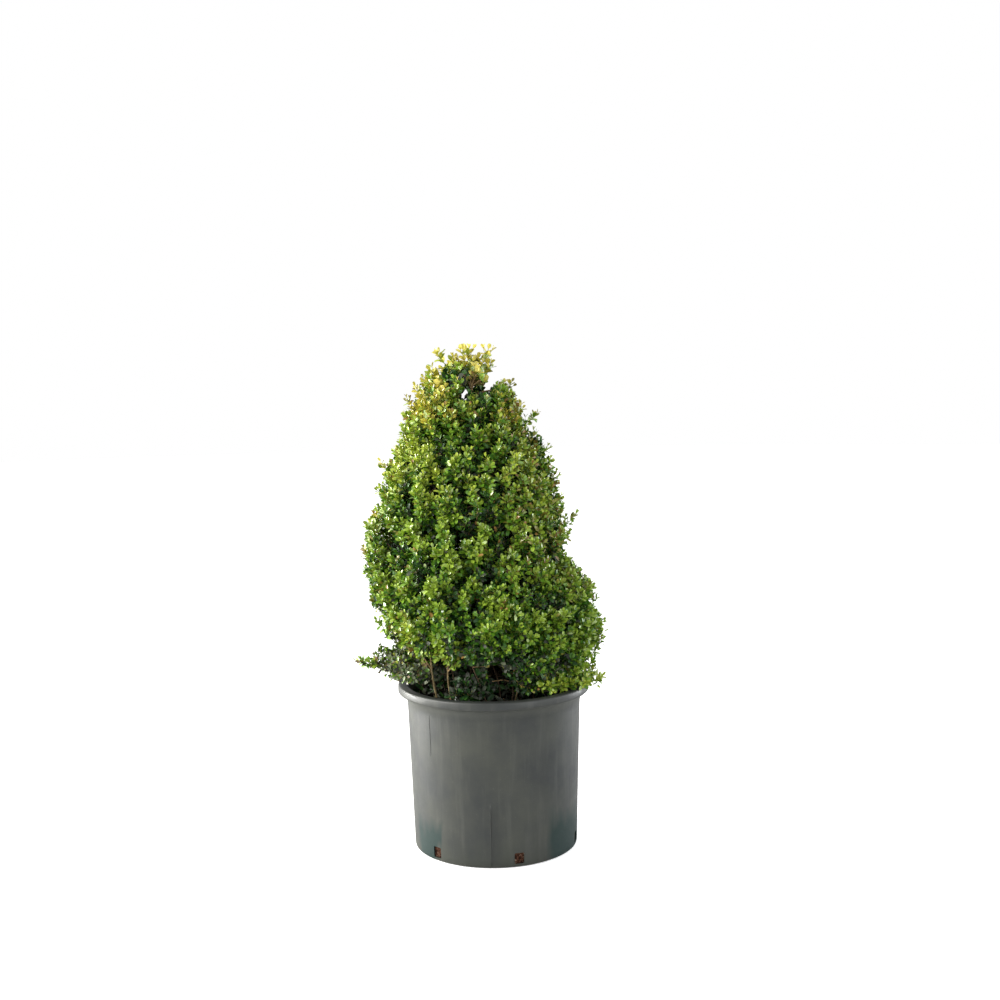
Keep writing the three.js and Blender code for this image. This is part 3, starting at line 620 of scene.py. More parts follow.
def in_gap(point, gaps=GAPS):
    """True in the ragged tunnels along the eye's ray that the leaves leave open"""
    share = (point.y - EYE.y) / -EYE.y
    ragged = 1 + GAP_RAGGED * noise.noise(point * GAP_FINE)
    for x, z, half_width, half_height, deepest in gaps:
        across = (point.x - lerp(EYE.x, x, share)) / half_width
        up = (point.z - lerp(EYE.z, z, share)) / half_height
        if across * across + up * up < share * share * ragged and point.y < deepest:
            return True
    return False


def crosses_sky(points):
    """True where a twig along these points would show against the sky in a gap"""
    middles = [a.lerp(b, 0.5) for a, b in zip(points, points[1:])]
    return any(in_gap(point, SKY_GAPS) for point in (*points, *middles))


# How far leaves stay from the rim, and from the wall and the soil, and how far they hang down outside
RIM_CLEAR, WALL_CLEAR, HANG_DOWN = 1.5, 2, 60


def clear_of_pot(point):
    if point.z > POT_HEIGHT + RIM_CLEAR:
        return True
    out = math.hypot(point.x, point.y)
    if out > RIM_RADIUS + RIM_CLEAR:
        return point.z > POT_HEIGHT - HANG_DOWN
    above = point.z - soil_height(point.x, point.y)
    return out < wall_radius(point.z) - WALL - WALL_CLEAR and above > WALL_CLEAR


def in_the_open(point):
    return clear_of_pot(point) and not in_gap(point)


def crosswise(along):
    """A direction square to along, level where it can be"""
    if abs(along.z) > 0.98:
        return Vector((1, 0, 0))
    return Vector((0, 0, 1)).cross(along).normalized()


def bent(start, end, lead, steps):
    """Points from start to end that set out in the direction lead"""
    middle = start + lead.normalized() * (end - start).length * 0.5
    shares = [i / steps for i in range(steps + 1)]
    return [start.lerp(middle, s).lerp(middle.lerp(end, s), s) for s in shares]


# The tone under which leaves are in deep shade, the chance of a pale one, the share of olive among the odd
# ones, and how far the tints within a spray differ
SHADE_TONE, PALE_CHANCE, OLIVE_SHARE, TINT_SPREAD = 0.2, 0.04, 0.75, 2.8


def tint_of(growth, tone):
    """A leaf's tint, by how light its spray is and a chance of an odd one"""
    chance = growth.random()
    if chance < growth.aged:
        return growth.old_tints[int(len(growth.old_tints) * chance / growth.aged)]
    if tone < SHADE_TONE:
        return picked(growth, SHADE_TINTS)
    if chance > 1 - growth.bronzed:
        return OLIVE if growth.random() < OLIVE_SHARE else BRONZE
    if chance > 1 - PALE_CHANCE - growth.bronzed:
        return PALE
    return int(clamp(tone * LIGHTEST + 0.3 + growth.around(TINT_SPREAD), 0, growth.lightest))


def picked(growth, choices):
    return choices[int((len(choices) - 0.01) * growth.random())]


def spot_on(points, share):
    """The place at a share of the way along a shoot, and the shoot's direction there"""
    reach = share * (len(points) - 1)
    step = min(int(reach), len(points) - 2)
    return points[step].lerp(points[step + 1], reach - step), (points[step + 1] - points[step]).normalized()


# Angles of leaves to their shoot and of side shoots to their leader, at its foot and its tip
LEAF_OPEN_DEG, SHOOT_OPEN_DEG = (60, 21), (50, 36)

# Distance of the pairs of leaves as a share of their length, and the places of the last pair and side shoot
PAIR_SPACING, LAST_PAIR, LAST_SHOOT = 0.43, 0.99, 0.72
PLUME_STEPS, SHOOT_STEPS, PLUME_SAG = 4, 2, Vector((0, 0, -0.35))

# Lengths of leaves and side shoots as a least share and what chance adds, and as shares from foot to tip
LEAF_SIZES, SHOOT_SIZES, SHOOT_TAPER, LAST_LEAF_SHORTER = (0.84, 0.32), (0.7, 0.6), (1.2, 0.7), 0.3

# How much blades and side shoots rise, and how much lighter a shoot's tip is than its foot
BLADE_LIFT, FACE_LIFT, SHOOT_RISE, TIP_LIGHTER = Vector((0, 0, 0.12)), 0.25, 0.3, 0.3


def leafy_shoot(growth, points, size, tone, bare=0.2, spacing=PAIR_SPACING):
    """Crossed pairs of leaves along a shoot's points, larger in its middle and lighter towards its tip"""
    whole = points[-1] - points[0]
    side = crosswise(whole.normalized())
    side.rotate(Quaternion(whole.normalized(), growth.around(math.tau / 2)))
    pairs = max(2, round(whole.length * (1 - bare) / (size * spacing + growth.around(1.4))) + 1)
    for pair in range(pairs):
        share = pair / (pairs - 1)
        base, along = spot_on(points, lerp(bare, LAST_PAIR, share))
        out = (side - along * side.dot(along)).normalized()
        open_deg = lerp(*LEAF_OPEN_DEG, share ** 1.5) + growth.around(14)
        long = size * growth.some(*LEAF_SIZES) * (1 - LAST_LEAF_SHORTER * share ** 3)
        lighter = TIP_LIGHTER * (share - 0.6)
        for way in (out, -out):
            angle = math.radians(open_deg + growth.around(16))
            blade = along * math.cos(angle) + way * math.sin(angle) + BLADE_LIFT
            face = along * 0.9 - way * 0.6 + growth.leaning(1.1, FACE_LIFT, 0.6)
            growth.leaf(base, blade.normalized(), face, long, tint_of(growth, tone + lighter))
        side.rotate(Quaternion(along, math.pi / 2))


def plume(growth, start, end, tone, size=13.4, nodes=3, side_length=14, thick=1.0, bare=0.3,
          spacing=PAIR_SPACING):
    """A leafy leader that turns upwards, with pairs of short side shoots, each square to the pair below it"""
    along = (end - start).normalized()
    points = bent(start, end, along + PLUME_SAG, PLUME_STEPS)
    if not in_the_open(end) or crosses_sky(points):
        return
    growth.twig(points, thick, 0.5, YOUNG if tone > 0.5 else OLD_WOOD)
    leafy_shoot(growth, points, size, tone + 0.06, bare, spacing)
    side = crosswise(along)
    side.rotate(Quaternion(along, growth.around(math.tau)))
    for node in range(nodes):
        share = lerp(bare, LAST_SHOOT, node / max(nodes - 1, 1)) + growth.around(0.06)
        base, tangent = spot_on(points, share)
        for out in (side, -side):
            angle = math.radians(lerp(*SHOOT_OPEN_DEG, share) + growth.around(20))
            way = (tangent * math.cos(angle) + out * math.sin(angle)).normalized()
            length = side_length * lerp(*SHOOT_TAPER, share) * growth.some(*SHOOT_SIZES)
            tip = base + way * length + Vector((0, 0, SHOOT_RISE * length))
            shoot = bent(base, tip, way, SHOOT_STEPS)
            if not crosses_sky(shoot):
                growth.twig(shoot, 0.6, 0.4, YOUNG)
                side_tone = tone + growth.around(0.2) - 0.16 * (1 - share)
                leafy_shoot(growth, shoot, size * 0.95, side_tone, 0.2, spacing)
        side.rotate(Quaternion(along, math.pi / 2 + growth.around(0.5)))


# Wood inside the crown

# The first steps of their paths where the trunk and the boughs may branch, and how many starts a twig tries
TRUNK_FIRST, BOUGH_FIRST, STARTS_TRIED = 22, 36, 8

# How steeply a twig would rise, and what each millimetre too low costs against one of distance
TWIG_SLOPE, LOW_COST = 0.45, 1.3

# Wood by where it stands, as radius at its start and its end, and steps of its path
BRANCH, INNER_BRANCH, SKIRT_BRANCH, SKIRT_TWIG = (3.0, 1.7, 6), (1.9, 1.3, 4), (2.6, 1.8, 4), (1.5, 1.1, 3)


def limb_starts(names):
    """Where branches may leave these limbs: up the trunk inside the crown, or on a bough's outer half"""
    starts = []
    for name in names:
        path, _ = LIMB_PATHS[name]
        for i in range(TRUNK_FIRST if name == "trunk" else BOUGH_FIRST, len(path)):
            way = path[min(i + 1, LIMB_STEPS)] - path[i - 1]
            starts.append((path[i], way.normalized()))
    return starts


def nearest_starts(starts, end):
    """The starts that a twig to end may leave from: near, and low enough for the twig to rise"""

    def cost(start):
        gap = end - start[0]
        level = math.hypot(gap.x, gap.y)
        return gap.length + LOW_COST * max(0.0, TWIG_SLOPE * level - gap.z)

    return heapq.nsmallest(STARTS_TRIED, starts, key=cost)


def branch_to(growth, starts, end, start_radius, end_radius, steps):
    """Wood from a near start to end. Its own points become starts for finer twigs."""
    for start, way in nearest_starts(starts, end):
        points = bent(start, end, way + (end - start).normalized() * 0.9, steps)
        if not crosses_sky(points):
            growth.twig(points, start_radius, end_radius, OLD_WOOD)
            return [(points[i], (points[i] - points[i - 1]).normalized()) for i in range(1, steps + 1)]
    return []


def fine_wood(growth, starts, end, start_radius=1.6):
    """The last bit of wood, up to where a plume sets out"""
    branch_to(growth, starts, end, start_radius, 1.2, 3)


def golden_deg(sector, number, shift):
    """One of many even azimuths in a sector"""
    return lerp(*sector, (number * GOLDEN_TURN + shift) % 1)


def out_share(number, count):
    """How far out one of many spots even over a disc stands, as a share of its radius"""
    return math.sqrt((number + 0.5) / count)


def inwards(point):
    """The level direction from a point to the crown's middle line"""
    return Vector((CROWN_X - point.x, -point.y, 0)).normalized()


def spread_over(mass, count, growth):
    """Heights and azimuths even over a mass's part of the crown's surface, by the golden angle"""
    sector = mass.get("sector", (0, 360))
    middle = sum(sector) / 2
    low = mass.get("low", crown_foot(middle))
    heights = np.linspace(0, 1, 60)
    area = np.cumsum([crown_radius(lerp(low, mass["high"], h), middle) for h in heights])
    area = (area - area[0]) / (area[-1] - area[0])
    for i in range(count):
        share = float(np.interp((i + 0.5) / count, area, heights))
        deg = golden_deg(sector, i, 0.5) + growth.around(9)
        yield share, deg, lerp(mass.get("low", crown_foot(deg)), mass["high"], share) + growth.around(12)


# How far out the branches reach, and how deep the plumes stand within the crown's surface and in its hollows
BRANCH_SHARE, PLUME_LENGTH, PLUME_DEPTH, HOLLOW_DEPTH = 0.58, 46, 13, 19
INNER_LENGTH, INNER_DEPTH, INNER_SPREAD, INNERMOST = 42, 38, 26, 12

# Plumes stand out by a chance of up to PROUDEST, and their slopes, depths and tones differ by up to a spread
# HOLLOW_SHADE darkens the leaves in the crown's hollows: painted shade
PROUDEST, RISE_SPREAD_DEG, DEPTH_SPREAD, TONE_SPREAD, HOLLOW_SHADE = 15, 18, 12, 0.56, 0.26

# The least tone of the shaded plumes inside, below and on the bare stems, and what chance adds. Their dark
# tints are painted shade.
INNER_TONE, UNDER_TONE, STEM_TONE = (0.14, 0.18), (0.1, 0.12), (0.05, 0.12)

# Shoots that stand out, in the sun and elsewhere: the chance of a bronze leaf, and how much lighter they are
SUNNY_SHOOT, OTHER_SHOOT = (0.35, 0.42), (0.1, 0.22)

# How far in and up from its tip a hanging shoot starts
HANGING_BACK, HANGING_UP = 30, Vector((0, 0, 24))


def dense_mass(name, mass):
    growth = Growth(mass["seed"])
    wood = limb_starts(mass["limbs"])
    for _, deg, z in spread_over(mass, mass["branches"], growth):
        end = around_crown(z - 10, deg, crown_radius(z, deg) * BRANCH_SHARE)
        wood += branch_to(growth, wood, end, *BRANCH)
    inner_plumes(mass, growth, wood)
    outer_plumes(mass, growth, wood)
    for tip in PROUD_TIPS.get(name, []):
        sunny = tip[0] < SUNNY_X and tip[2] > SUNNY_Z or tip[2] > TOP_Z
        growth.lightest = LIGHTEST if sunny else lightest_at(tip[2])
        growth.bronzed, lighter = SUNNY_SHOOT if sunny else OTHER_SHOOT
        proud_shoot(growth, wood, Vector(tip), mass["tone"] + lighter)
    for *place, tone in HANGING_TIPS.get(name, []):
        tip = Vector(place)
        root = tip + inwards(tip) * HANGING_BACK + HANGING_UP
        fine_wood(growth, wood, root)
        plume(growth, root, tip, tone, side_length=15)
    return growth


def inner_plumes(mass, growth, wood):
    """Shaded plumes with larger leaves further in"""
    growth.layer = "inner"
    for _, deg, z in spread_over(mass, mass["inner"], growth):
        radius = crown_radius(z, deg) - INNER_DEPTH - INNER_SPREAD * growth.random()
        end = around_crown(z, deg, max(radius, INNERMOST))

        # Drawn and not used, so that the draws after it stay the same
        growth.random()
        start = end + (Vector((CROWN_X, 0, z - 30)) - end).normalized() * INNER_LENGTH
        wood += branch_to(growth, wood, start, *INNER_BRANCH)
        plume(growth, start, end, growth.some(*INNER_TONE), 17, 3, 27, 1.2)


def outer_plumes(mass, growth, wood):
    """The plumes that make the crown's surface, their leaves lighter or darker by their place"""
    growth.layer = "outer"
    for share, deg, z in spread_over(mass, mass["plumes"], growth):
        rise = math.radians(lerp(*mass["rise"], share) + growth.around(RISE_SPREAD_DEG))
        proud = growth.random() ** 3 * PROUDEST
        hollow = hollowness(around_crown(z, deg, crown_radius(z, deg)))
        spread = crown_radius(z, deg) - PLUME_DEPTH + growth.around(DEPTH_SPREAD) + proud
        end = around_crown(z, deg, spread - dent(z, deg) - HOLLOW_DEPTH * hollow)

        # Drawn and not used, so that the draws after it stay the same
        growth.random()
        start = end + inwards(end) * PLUME_LENGTH * math.cos(rise)
        start -= Vector((0, 0, PLUME_LENGTH * math.sin(rise)))
        if any(in_gap(start.lerp(end, step / 4)) for step in range(-4, 4)):
            continue
        fine_wood(growth, wood, start)
        growth.bronzed = bronzed_at(end)
        low_left = end.x < SUNNY_X - 30 and end.z < 450
        growth.lightest = LIGHTEST_SHADED if low_left else lightest_at(end.z)
        # Painted light and shade: leaves are darker at the crown's foot and in its hollows, and lighter where
        # a plume stands out and by its place
        above_foot = fade(z, crown_foot(deg), crown_foot(deg) + 70) if "sector" in mass else 1.0
        tone = mass["tone"] * lerp(foot_painted_shade(end.x), 1, above_foot) + growth.around(TONE_SPREAD)
        plume(growth, start, end, tone + (patches_and_painted_light(end) + proud * 0.01 - HOLLOW_SHADE * hollow))


def bronzed_at(point):
    """The chance of bronze and olive leaves, higher over the shoulder, at the top and far left"""
    right = 0.24 * fade(point.x, CROWN_X, CROWN_X + 150) * fade(point.z, 450, 550)
    top, far_left = 0.12 * fade(point.z, 760, 860), 0.08 * fade(point.x, SUNNY_X, SUNNY_X - 60)
    return LEAST_BRONZED + right + (top + far_left)


def foot_painted_shade(x):
    """Painted shade under the crown: the share of their tone that leaves at the crown's foot keep, most on
    the left, least near x = 30
    """
    return 0.45 + 0.45 * fade(x, 20, -100) - 0.3 * fade(abs(x - 30), 84, 24)


def lightest_at(z):
    """The lightest tint at a height: gold and straw only at the plant's top"""
    return LIGHTEST - 3 + round(fade(z, 560, 720) + 1.1 * fade(z, 770, 830))


def proud_shoot(growth, wood, tip, tone):
    """A shoot with well spaced leaves that rises out of the mass to its tip"""
    rise = math.radians(PROUD_RISE_DEG + growth.around(26))
    root = tip + (inwards(tip) * math.cos(rise) - Vector((0, 0, math.sin(rise)))) * PROUD_LENGTH
    fine_wood(growth, wood, root)
    plume(growth, root, tip, tone, 14, 2, 10, spacing=0.6)


def dent(z, deg):
    """How far the plumes stand back in the hollows of the crown's outline"""
    depth = 0.0
    for middle_z, middle_deg, deep, half_height, half_deg in DENTS:
        off = angle_off(deg, middle_deg) / half_deg
        depth += deep * math.exp(-((z - middle_z) / half_height) ** 2 - off ** 2)
    return depth


def hollowness(point):
    """From 0 to 1 where the plumes part around dark hollows, two or three to a hand's breadth"""
    return clamp((noise.noise(point * Vector((0.026, 0.026, 0.019))) - 0.08) * 3.2)


def patches_and_painted_light(point):
    """Lighter and darker patches a few plumes wide, and painted light and shade: lighter leaves to the left,
    at the top and low on the right, darker ones high on the right
    """
    patch = noise.noise(point * 0.024) * 0.3
    side = clamp((CROWN_X - point.x) / 100, -1, 1)
    left = max(side, 0) * 0.05 + fade(point.x, -90, -150) * fade(point.z, 540, 480) * 0.16
    right = fade(point.x, 40, 100) * fade(point.z, 620, 560) * 0.07
    top = fade(point.z, 760, 870) * 0.2 + side * fade(point.z, 690, 750) * 0.15
    return patch + left + right + top


def underside(mass, growth):
    """Shaded plumes that close the crown from below"""
    growth.layer = "inner"
    growth.aged, growth.old_tints = 0.7, (*SHADE_TINTS, OLD, GREY)
    wood = limb_starts(mass["limbs"])
    for i in range(mass["under"]):
        deg = golden_deg(mass["sector"], i, 0.3)
        out = out_share(i, mass["under"])
        z = crown_foot(deg) + lerp(30, 8, out)
        end = around_crown(z, deg, crown_radius(z + 20, deg) * lerp(0.2, 0.9, out))
        start = end + Vector((-(end.x - CROWN_X) * 0.12, -end.y * 0.12, 34))
        fine_wood(growth, wood, start, 1.7)
        plume(growth, start, end, growth.some(*UNDER_TONE), 15, 3, 25, 1.2)


# The bare stems' nearest and furthest place round FOOT_MIDDLE, and the steps of their paths with a side shoot
FOOT_REACH, FOOT_MIDDLE, FOOT_SHOOTS = (34, 118), Vector((26, 0, 0)), (1, 2, 2, 3, 3, 4, 5)


def bare_stems(mass, growth):
    """Thin stems in the pot's mouth, with a few old leaves on short side shoots"""
    for i in range(mass["foot_stems"]):
        deg = golden_deg(mass["sector"], i, 0.6)
        out = lerp(*FOOT_REACH, out_share(i, mass["foot_stems"]))
        foot = around_crown(0, deg, out) + FOOT_MIDDLE
        foot.z = soil_height(foot.x, foot.y) - 2
        head = around_crown(crown_foot(deg) + 30, deg + growth.around(30), out * 1.05 + growth.around(20))
        points = bent(foot, head, growth.leaning(0.7, 1), 6)
        growth.twig(points, 1.5, 1.05, SHADED)
        for j in FOOT_SHOOTS:
            way = growth.leaning(2, 0, 0.9).normalized()
            shoot = bent(points[j], points[j] + way * growth.some(24, 12), way, 2)
            growth.twig(shoot, 0.7, 0.5, SHADED if j < 4 else OLD_WOOD)
            leafy_shoot(growth, shoot, 16, growth.some(*STEM_TONE), 0.3)


def open_spray(spec):
    growth = Growth(spec["seed"])
    growth.lightest = spec.get("lightest", LIGHTEST_SHADED)
    foot, fork = LIMB_PATHS[spec["limb"]][0][-1], Vector(spec["fork"])
    growth.twig([foot, fork], 2.6, 2.0, OLD_WOOD)
    for x, y, z, *shade in spec["tips"]:
        end = Vector((x, y, z))
        start = foot.lerp(fork, growth.some(0.85, -0.5))
        leafy = clamp(1 - PLUME_LENGTH / (end - start).length, 0.1, 0.55)
        bare = start.lerp(end, leafy) + Vector((0, 0, -4))
        growth.twig(bent(start, bare, fork - foot, 3), 1.7, 1.25, OLD_WOOD)
        tone = spec["tone"] + growth.around(spec.get("uneven", 0.24))
        # Low tips between the two of SHADY_X, and tips with a fourth number, get darker tints: painted shade
        painted_low_shade = min(fade(z, fork.z + 24, fork.z - 36), 0.4) if SHADY_X[0] < x < SHADY_X[1] else 0
        tone -= sum(shade) or painted_low_shade
        plume(growth, bare, end, tone, spec["leaf"], spec.get("nodes", 3), spec["side"], 1.1, 0.2,
              spec.get("spacing", PAIR_SPACING))
    growth.aged, growth.old_tints = 1.0, (BRONZE, DEAD, OLIVE)
    for spot in spec.get("bare_fork", []):
        limb = bent(Vector(spec["fork_foot"]), Vector(spot), Vector((0, -0.3, 1)), 4)
        growth.twig(limb, 2.1, 1.4, OLD_WOOD)
    for i in range(spec.get("old_twigs", 0)):
        x, y = golden_way(i)
        out = Vector((20 * x + 8, 14 * y - 14, growth.around(22) + 2))
        old = bent(foot, fork + out, Vector((out.x, out.y, 20)), 3)
        growth.twig(old, 1.3, 0.7, OLD_WOOD)
        leafy_shoot(growth, old, 11, 0.3, 0.62, 0.6)
    return growth


def fallen_leaves():
    """Dead leaves that lie on the soil"""
    growth = Growth(31)
    for i in range(FALLEN_LEAVES):
        out = (soil_side(SOIL_EDGE_Z) - 8) * out_share(i, FALLEN_LEAVES)
        x, y = (out * way for way in golden_way(i))
        blade, face = growth.leaning(2, 0, 0.5).normalized(), growth.leaning(0.7, 1)
        tint = picked(growth, FALLEN_TINTS)
        growth.leaf(Vector((x, y, soil_height(x, y) + 3.5)), blade, face, growth.some(11, 6), tint)
    return growth.leaves["outer"]


# Where the low clump's plumes and bare twigs start and end, as shares of its half size
SKIRT_PLUME, SKIRT_BARE = (0.45, 1.12), (0.5, 1.15)


def low_clump():
    growth = Growth(SKIRT["seed"], aged=0.6)
    path, _ = LIMB_PATHS["bough_skirt_left"]
    middle, half = Vector(SKIRT["middle"]), Vector(SKIRT["half"])
    wood = [(path[-1], (path[-1] - path[-2]).normalized())]
    wood += branch_to(growth, wood, middle, *SKIRT_BRANCH)
    for i in range(SKIRT["plumes"]):
        height = 1 - (2 * i + 1) / SKIRT["plumes"]
        flat = math.sqrt(1 - height * height)
        out = Vector((*(flat * way for way in golden_way(i)), height))
        start = middle + out * half * SKIRT_PLUME[0]
        end = middle + out * half * (SKIRT_PLUME[1] + growth.around(0.3)) + Vector((0, 0, 3))
        branch_to(growth, wood, start, *SKIRT_TWIG)
        plume(growth, start, end, SKIRT["tone"] + 0.14 + growth.around(0.2), 11.5, 3, 18)
    growth.aged = 0.4
    for spot in SKIRT["upright"]:
        plume(growth, Vector(spot) + Vector((14, 4, -30)), Vector(spot), 0.44, 12, 2, 12, spacing=0.55)
    for spot in SKIRT["hanging"]:
        plume(growth, Vector(spot) + Vector((18, 8, 20)), Vector(spot), 0.36, 11, 1, 10, spacing=0.6)
    growth.aged = 0.15
    root, tip = SKIRT["sprig"]
    plume(growth, Vector(root), Vector(tip), 0.66, 14, 5, 13)
    for i in range(SKIRT["bare_twigs"]):
        out = Vector((*golden_way(i), growth.around(1.2)))
        way = out + growth.leaning(0.8, 0.4)
        start = middle + out * half * SKIRT_BARE[0]
        twig = bent(start, middle + out * half * (SKIRT_BARE[1] + growth.around(0.3)), way, 4)
        if all(clear_of_pot(p) for p in twig):
            growth.twig(twig, 0.8, 0.45, OLD_WOOD)
    return growth


# Meshes from growth

WORKING_ATTRIBUTES = ("tint", "blade", "face", "length", "wood", "thickness", "along", "ring")


def bare_mesh(name, points, edges=()):
    mesh = bpy.data.meshes.new(name)
    mesh.from_pydata([tuple(p * MM) for p in points], edges, [])
    return mesh


def attribute(mesh, name, kind, values):
    spot = mesh.attributes.new(name, kind, "POINT")
    key = "vector" if kind == "FLOAT_VECTOR" else "value"
    spot.data.foreach_set(key, np.asarray(values, dtype=np.int32 if kind == "INT" else np.float32).ravel())


def new_object(name, mesh):
    piece = bpy.data.objects.new(name, mesh)
    bpy.context.scene.collection.objects.link(piece)
    return piece


class Maker(Graph):
    """A modifier's tree that makes a piece, with named inputs for the sizes that differ between pieces"""

    def __init__(self, name, **sizes):
        super().__init__(bpy.data.node_groups.new(name, "GeometryNodeTree"))
        interface, self.identifiers = self.tree.interface, {}
        for way in ("INPUT", "OUTPUT"):
            interface.new_socket("Geometry", in_out=way, socket_type="NodeSocketGeometry")
        for size, value in sizes.items():
            kind = "NodeSocketInt" if isinstance(value, int) else "NodeSocketFloat"
            socket = interface.new_socket(size, in_out="INPUT", socket_type=kind)
            socket.default_value = value
            self.identifiers[size] = socket.identifier
        inlet = self.tree.nodes.new("NodeGroupInput")
        self.inputs = {socket.name: Wired(self, socket) for socket in inlet.outputs if socket.name}

    def named(self, name, kind="FLOAT"):
        return self.add("GeometryNodeInputNamedAttribute", {"Name": name}, data_type=kind)

    def store(self, geometry, name, value, kind="FLOAT_VECTOR"):
        values = {0: geometry, "Name": name, 3: value}
        return self.add("GeometryNodeStoreNamedAttribute", values, data_type=kind)

    def circle(self, sides):
        return self.add("GeometryNodeCurvePrimitiveCircle", {0: sides, 4: 1.0})

    def compared(self, a, b, operation, first=0, kind="FLOAT"):
        return self.add("FunctionNodeCompare", {first: a, first + 1: b}, data_type=kind, operation=operation)

    def smooth(self, geometry):
        return self.add("GeometryNodeSetShadeSmooth", {0: geometry, 2: True})

    def scattered(self, points, shape, rotation, scale):
        values = {"Points": points, "Instance": shape, "Rotation": rotation, "Scale": scale}
        return self.add("GeometryNodeInstanceOnPoints", values)

    def closed(self, geometry, finishes, chooser=None):
        """The whole tree, with each face's finish picked by the whole number in the attribute chooser"""
        geometry = self.add("GeometryNodeRealizeInstances", {0: geometry})
        for number, material in enumerate(finishes):
            same = self.compared(self.named(chooser, "INT"), number, "EQUAL", 2, "INT") if chooser else True
            geometry = self.add("GeometryNodeSetMaterial", {0: geometry, 1: same, 2: material})
        outlet = self.tree.nodes.new("NodeGroupOutput")
        self.join(geometry, outlet.inputs[0])
        return self


def leaf_maker(finishes):
    """A blade on every point, along its attribute blade and facing its attribute face"""
    maker = Maker("leafing", Width=LEAF_WIDTH)
    grid = maker.add("GeometryNodeMeshGrid", {0: 1.0, 1: 1.0, 2: 3, 3: 4})
    x, y, _ = maker.split(maker.add("GeometryNodeInputPosition"))
    across = x * 2
    along = ((y + 0.5) * (math.pi / 2)).sine() ** 1.15
    broad = ((along ** 1.6) * math.pi).sine().at_least(0.0) ** LEAF_BLUNT
    half_width = broad * maker.inputs["Width"] * 0.5
    height = half_width * across * across * LEAF_CUP * 2 - along * along * LEAF_DROOP
    place = maker.vector(across * half_width, along, height)
    blade = maker.add("GeometryNodeSetPosition", {0: grid, 2: place})
    blade = maker.smooth(maker.add("GeometryNodeMergeByDistance", {0: blade, 2: 0.001}))
    turned = maker.add("FunctionNodeAxesToRotation",
                       {0: maker.named("blade", "FLOAT_VECTOR"), 1: maker.named("face", "FLOAT_VECTOR")},
                       primary_axis="Y", secondary_axis="Z")
    spots = maker.add("GeometryNodeMeshToPoints", {0: maker.inputs["Geometry"]})
    return maker.closed(maker.scattered(spots, blade, turned, maker.named("length")), finishes, "tint")


def twig_maker(finishes):
    """A tube along every edge path, as thick as its attribute thickness"""
    maker = Maker("twigs", Sides=3)
    thickness = maker.named("thickness")
    curve = maker.add("GeometryNodeMeshToCurve", {0: maker.inputs["Geometry"]})
    curve = maker.add("GeometryNodeSetCurveRadius", {0: curve, 2: thickness})
    ring = maker.circle(maker.inputs["Sides"])
    tube = maker.add("GeometryNodeCurveToMesh", {0: curve, 1: ring, 2: thickness, 3: True})
    return maker.closed(maker.smooth(tube), finishes, "wood")


# Bark in relief on the limbs: sides of their tubes, height as a share of the thickness, and furrow length
LIMB_SIDES, BARK_RELIEF, FURROW_LENGTH = 28, 0.5, 6.0


def limb_maker(finishes):
    """A tube along every path, with knobs and furrows in relief. Its attribute grain lies along the limb."""
    maker = Maker("limbs")
    thickness = maker.named("thickness")
    curve = maker.add("GeometryNodeMeshToCurve", {0: maker.inputs["Geometry"]})
    curve = maker.store(curve, "along", maker.add("GeometryNodeSplineParameter", out=1), "FLOAT")
    ring = maker.store(maker.circle(LIMB_SIDES), "ring", maker.add("GeometryNodeInputPosition"))
    tube = maker.add("GeometryNodeCurveToMesh", {0: curve, 1: ring, 2: thickness, 3: True})
    ring_x, ring_y, _ = maker.split(maker.named("ring", "FLOAT_VECTOR"))
    grain = maker.vector(ring_x * thickness, ring_y * thickness, maker.named("along") / FURROW_LENGTH)
    tube = maker.store(tube, "grain", grain)
    knobs = maker.noisy(maker.add("GeometryNodeInputPosition"), 55, 2, 0.5)
    swell = (maker.noisy(grain, 330, 3, 0.55) + knobs - 1.0) * thickness * BARK_RELIEF
    outward = {0: maker.add("GeometryNodeInputNormal"), "Scale": swell}
    offset = maker.add("ShaderNodeVectorMath", outward, operation="SCALE")
    tube = maker.add("GeometryNodeSetPosition", {0: tube, 3: offset})
    return maker.closed(maker.smooth(tube), finishes, "wood")


def chip_maker(finish):
    """Chips of bark scattered over the top of the soil, in the soil's place"""
    maker = Maker("chips")
    x, y, height = maker.split(maker.add("GeometryNodeInputPosition"))
    high = maker.compared(height, (SOIL_EDGE_Z - CHIPS_DOWN) * MM, "GREATER_THAN")
    reach = (soil_side(SOIL_EDGE_Z) - CHIP_SIZE[0]) * MM
    inside = maker.compared((x * x + y * y) ** 0.5, reach, "LESS_THAN")
    on_top = maker.add("FunctionNodeBooleanMath", {0: high, 1: inside}, operation="AND")
    spots = maker.add("GeometryNodeDistributePointsOnFaces", {
        "Mesh": maker.inputs["Geometry"], "Selection": on_top, "Density": CHIP_DENSITY, "Seed": 5})
    chip = maker.add("GeometryNodeMeshCube", {"Size": [side * MM for side in CHIP_SIZE]})
    turns = {0: (-0.5, -0.5, 0.0), 1: (0.5, 0.5, math.tau), "Seed": 2}
    turn = maker.add("FunctionNodeRandomValue", turns, data_type="FLOAT_VECTOR")
    scale = maker.add("FunctionNodeRandomValue", {2: 0.35, 3: 1.5, "Seed": 3}, out=1, data_type="FLOAT")
    return maker.closed(maker.scattered(spots, chip, turn, scale), [finish])


def grown(name, mesh, maker, **sizes):
    """The plain mesh that a maker's tree makes of mesh, as a new piece"""
    paths = new_object(name + "_paths", mesh)
    modifier = paths.modifiers.new("growth", "NODES")
    modifier.node_group = maker.tree
    for size, value in sizes.items():
        modifier[maker.identifiers[size]] = value
    made = evaluated_mesh(name, paths)
    for spare in [a.name for a in made.attributes if a.name in WORKING_ATTRIBUTES]:
        made.attributes.remove(made.attributes[spare])
    return new_object(name, made)


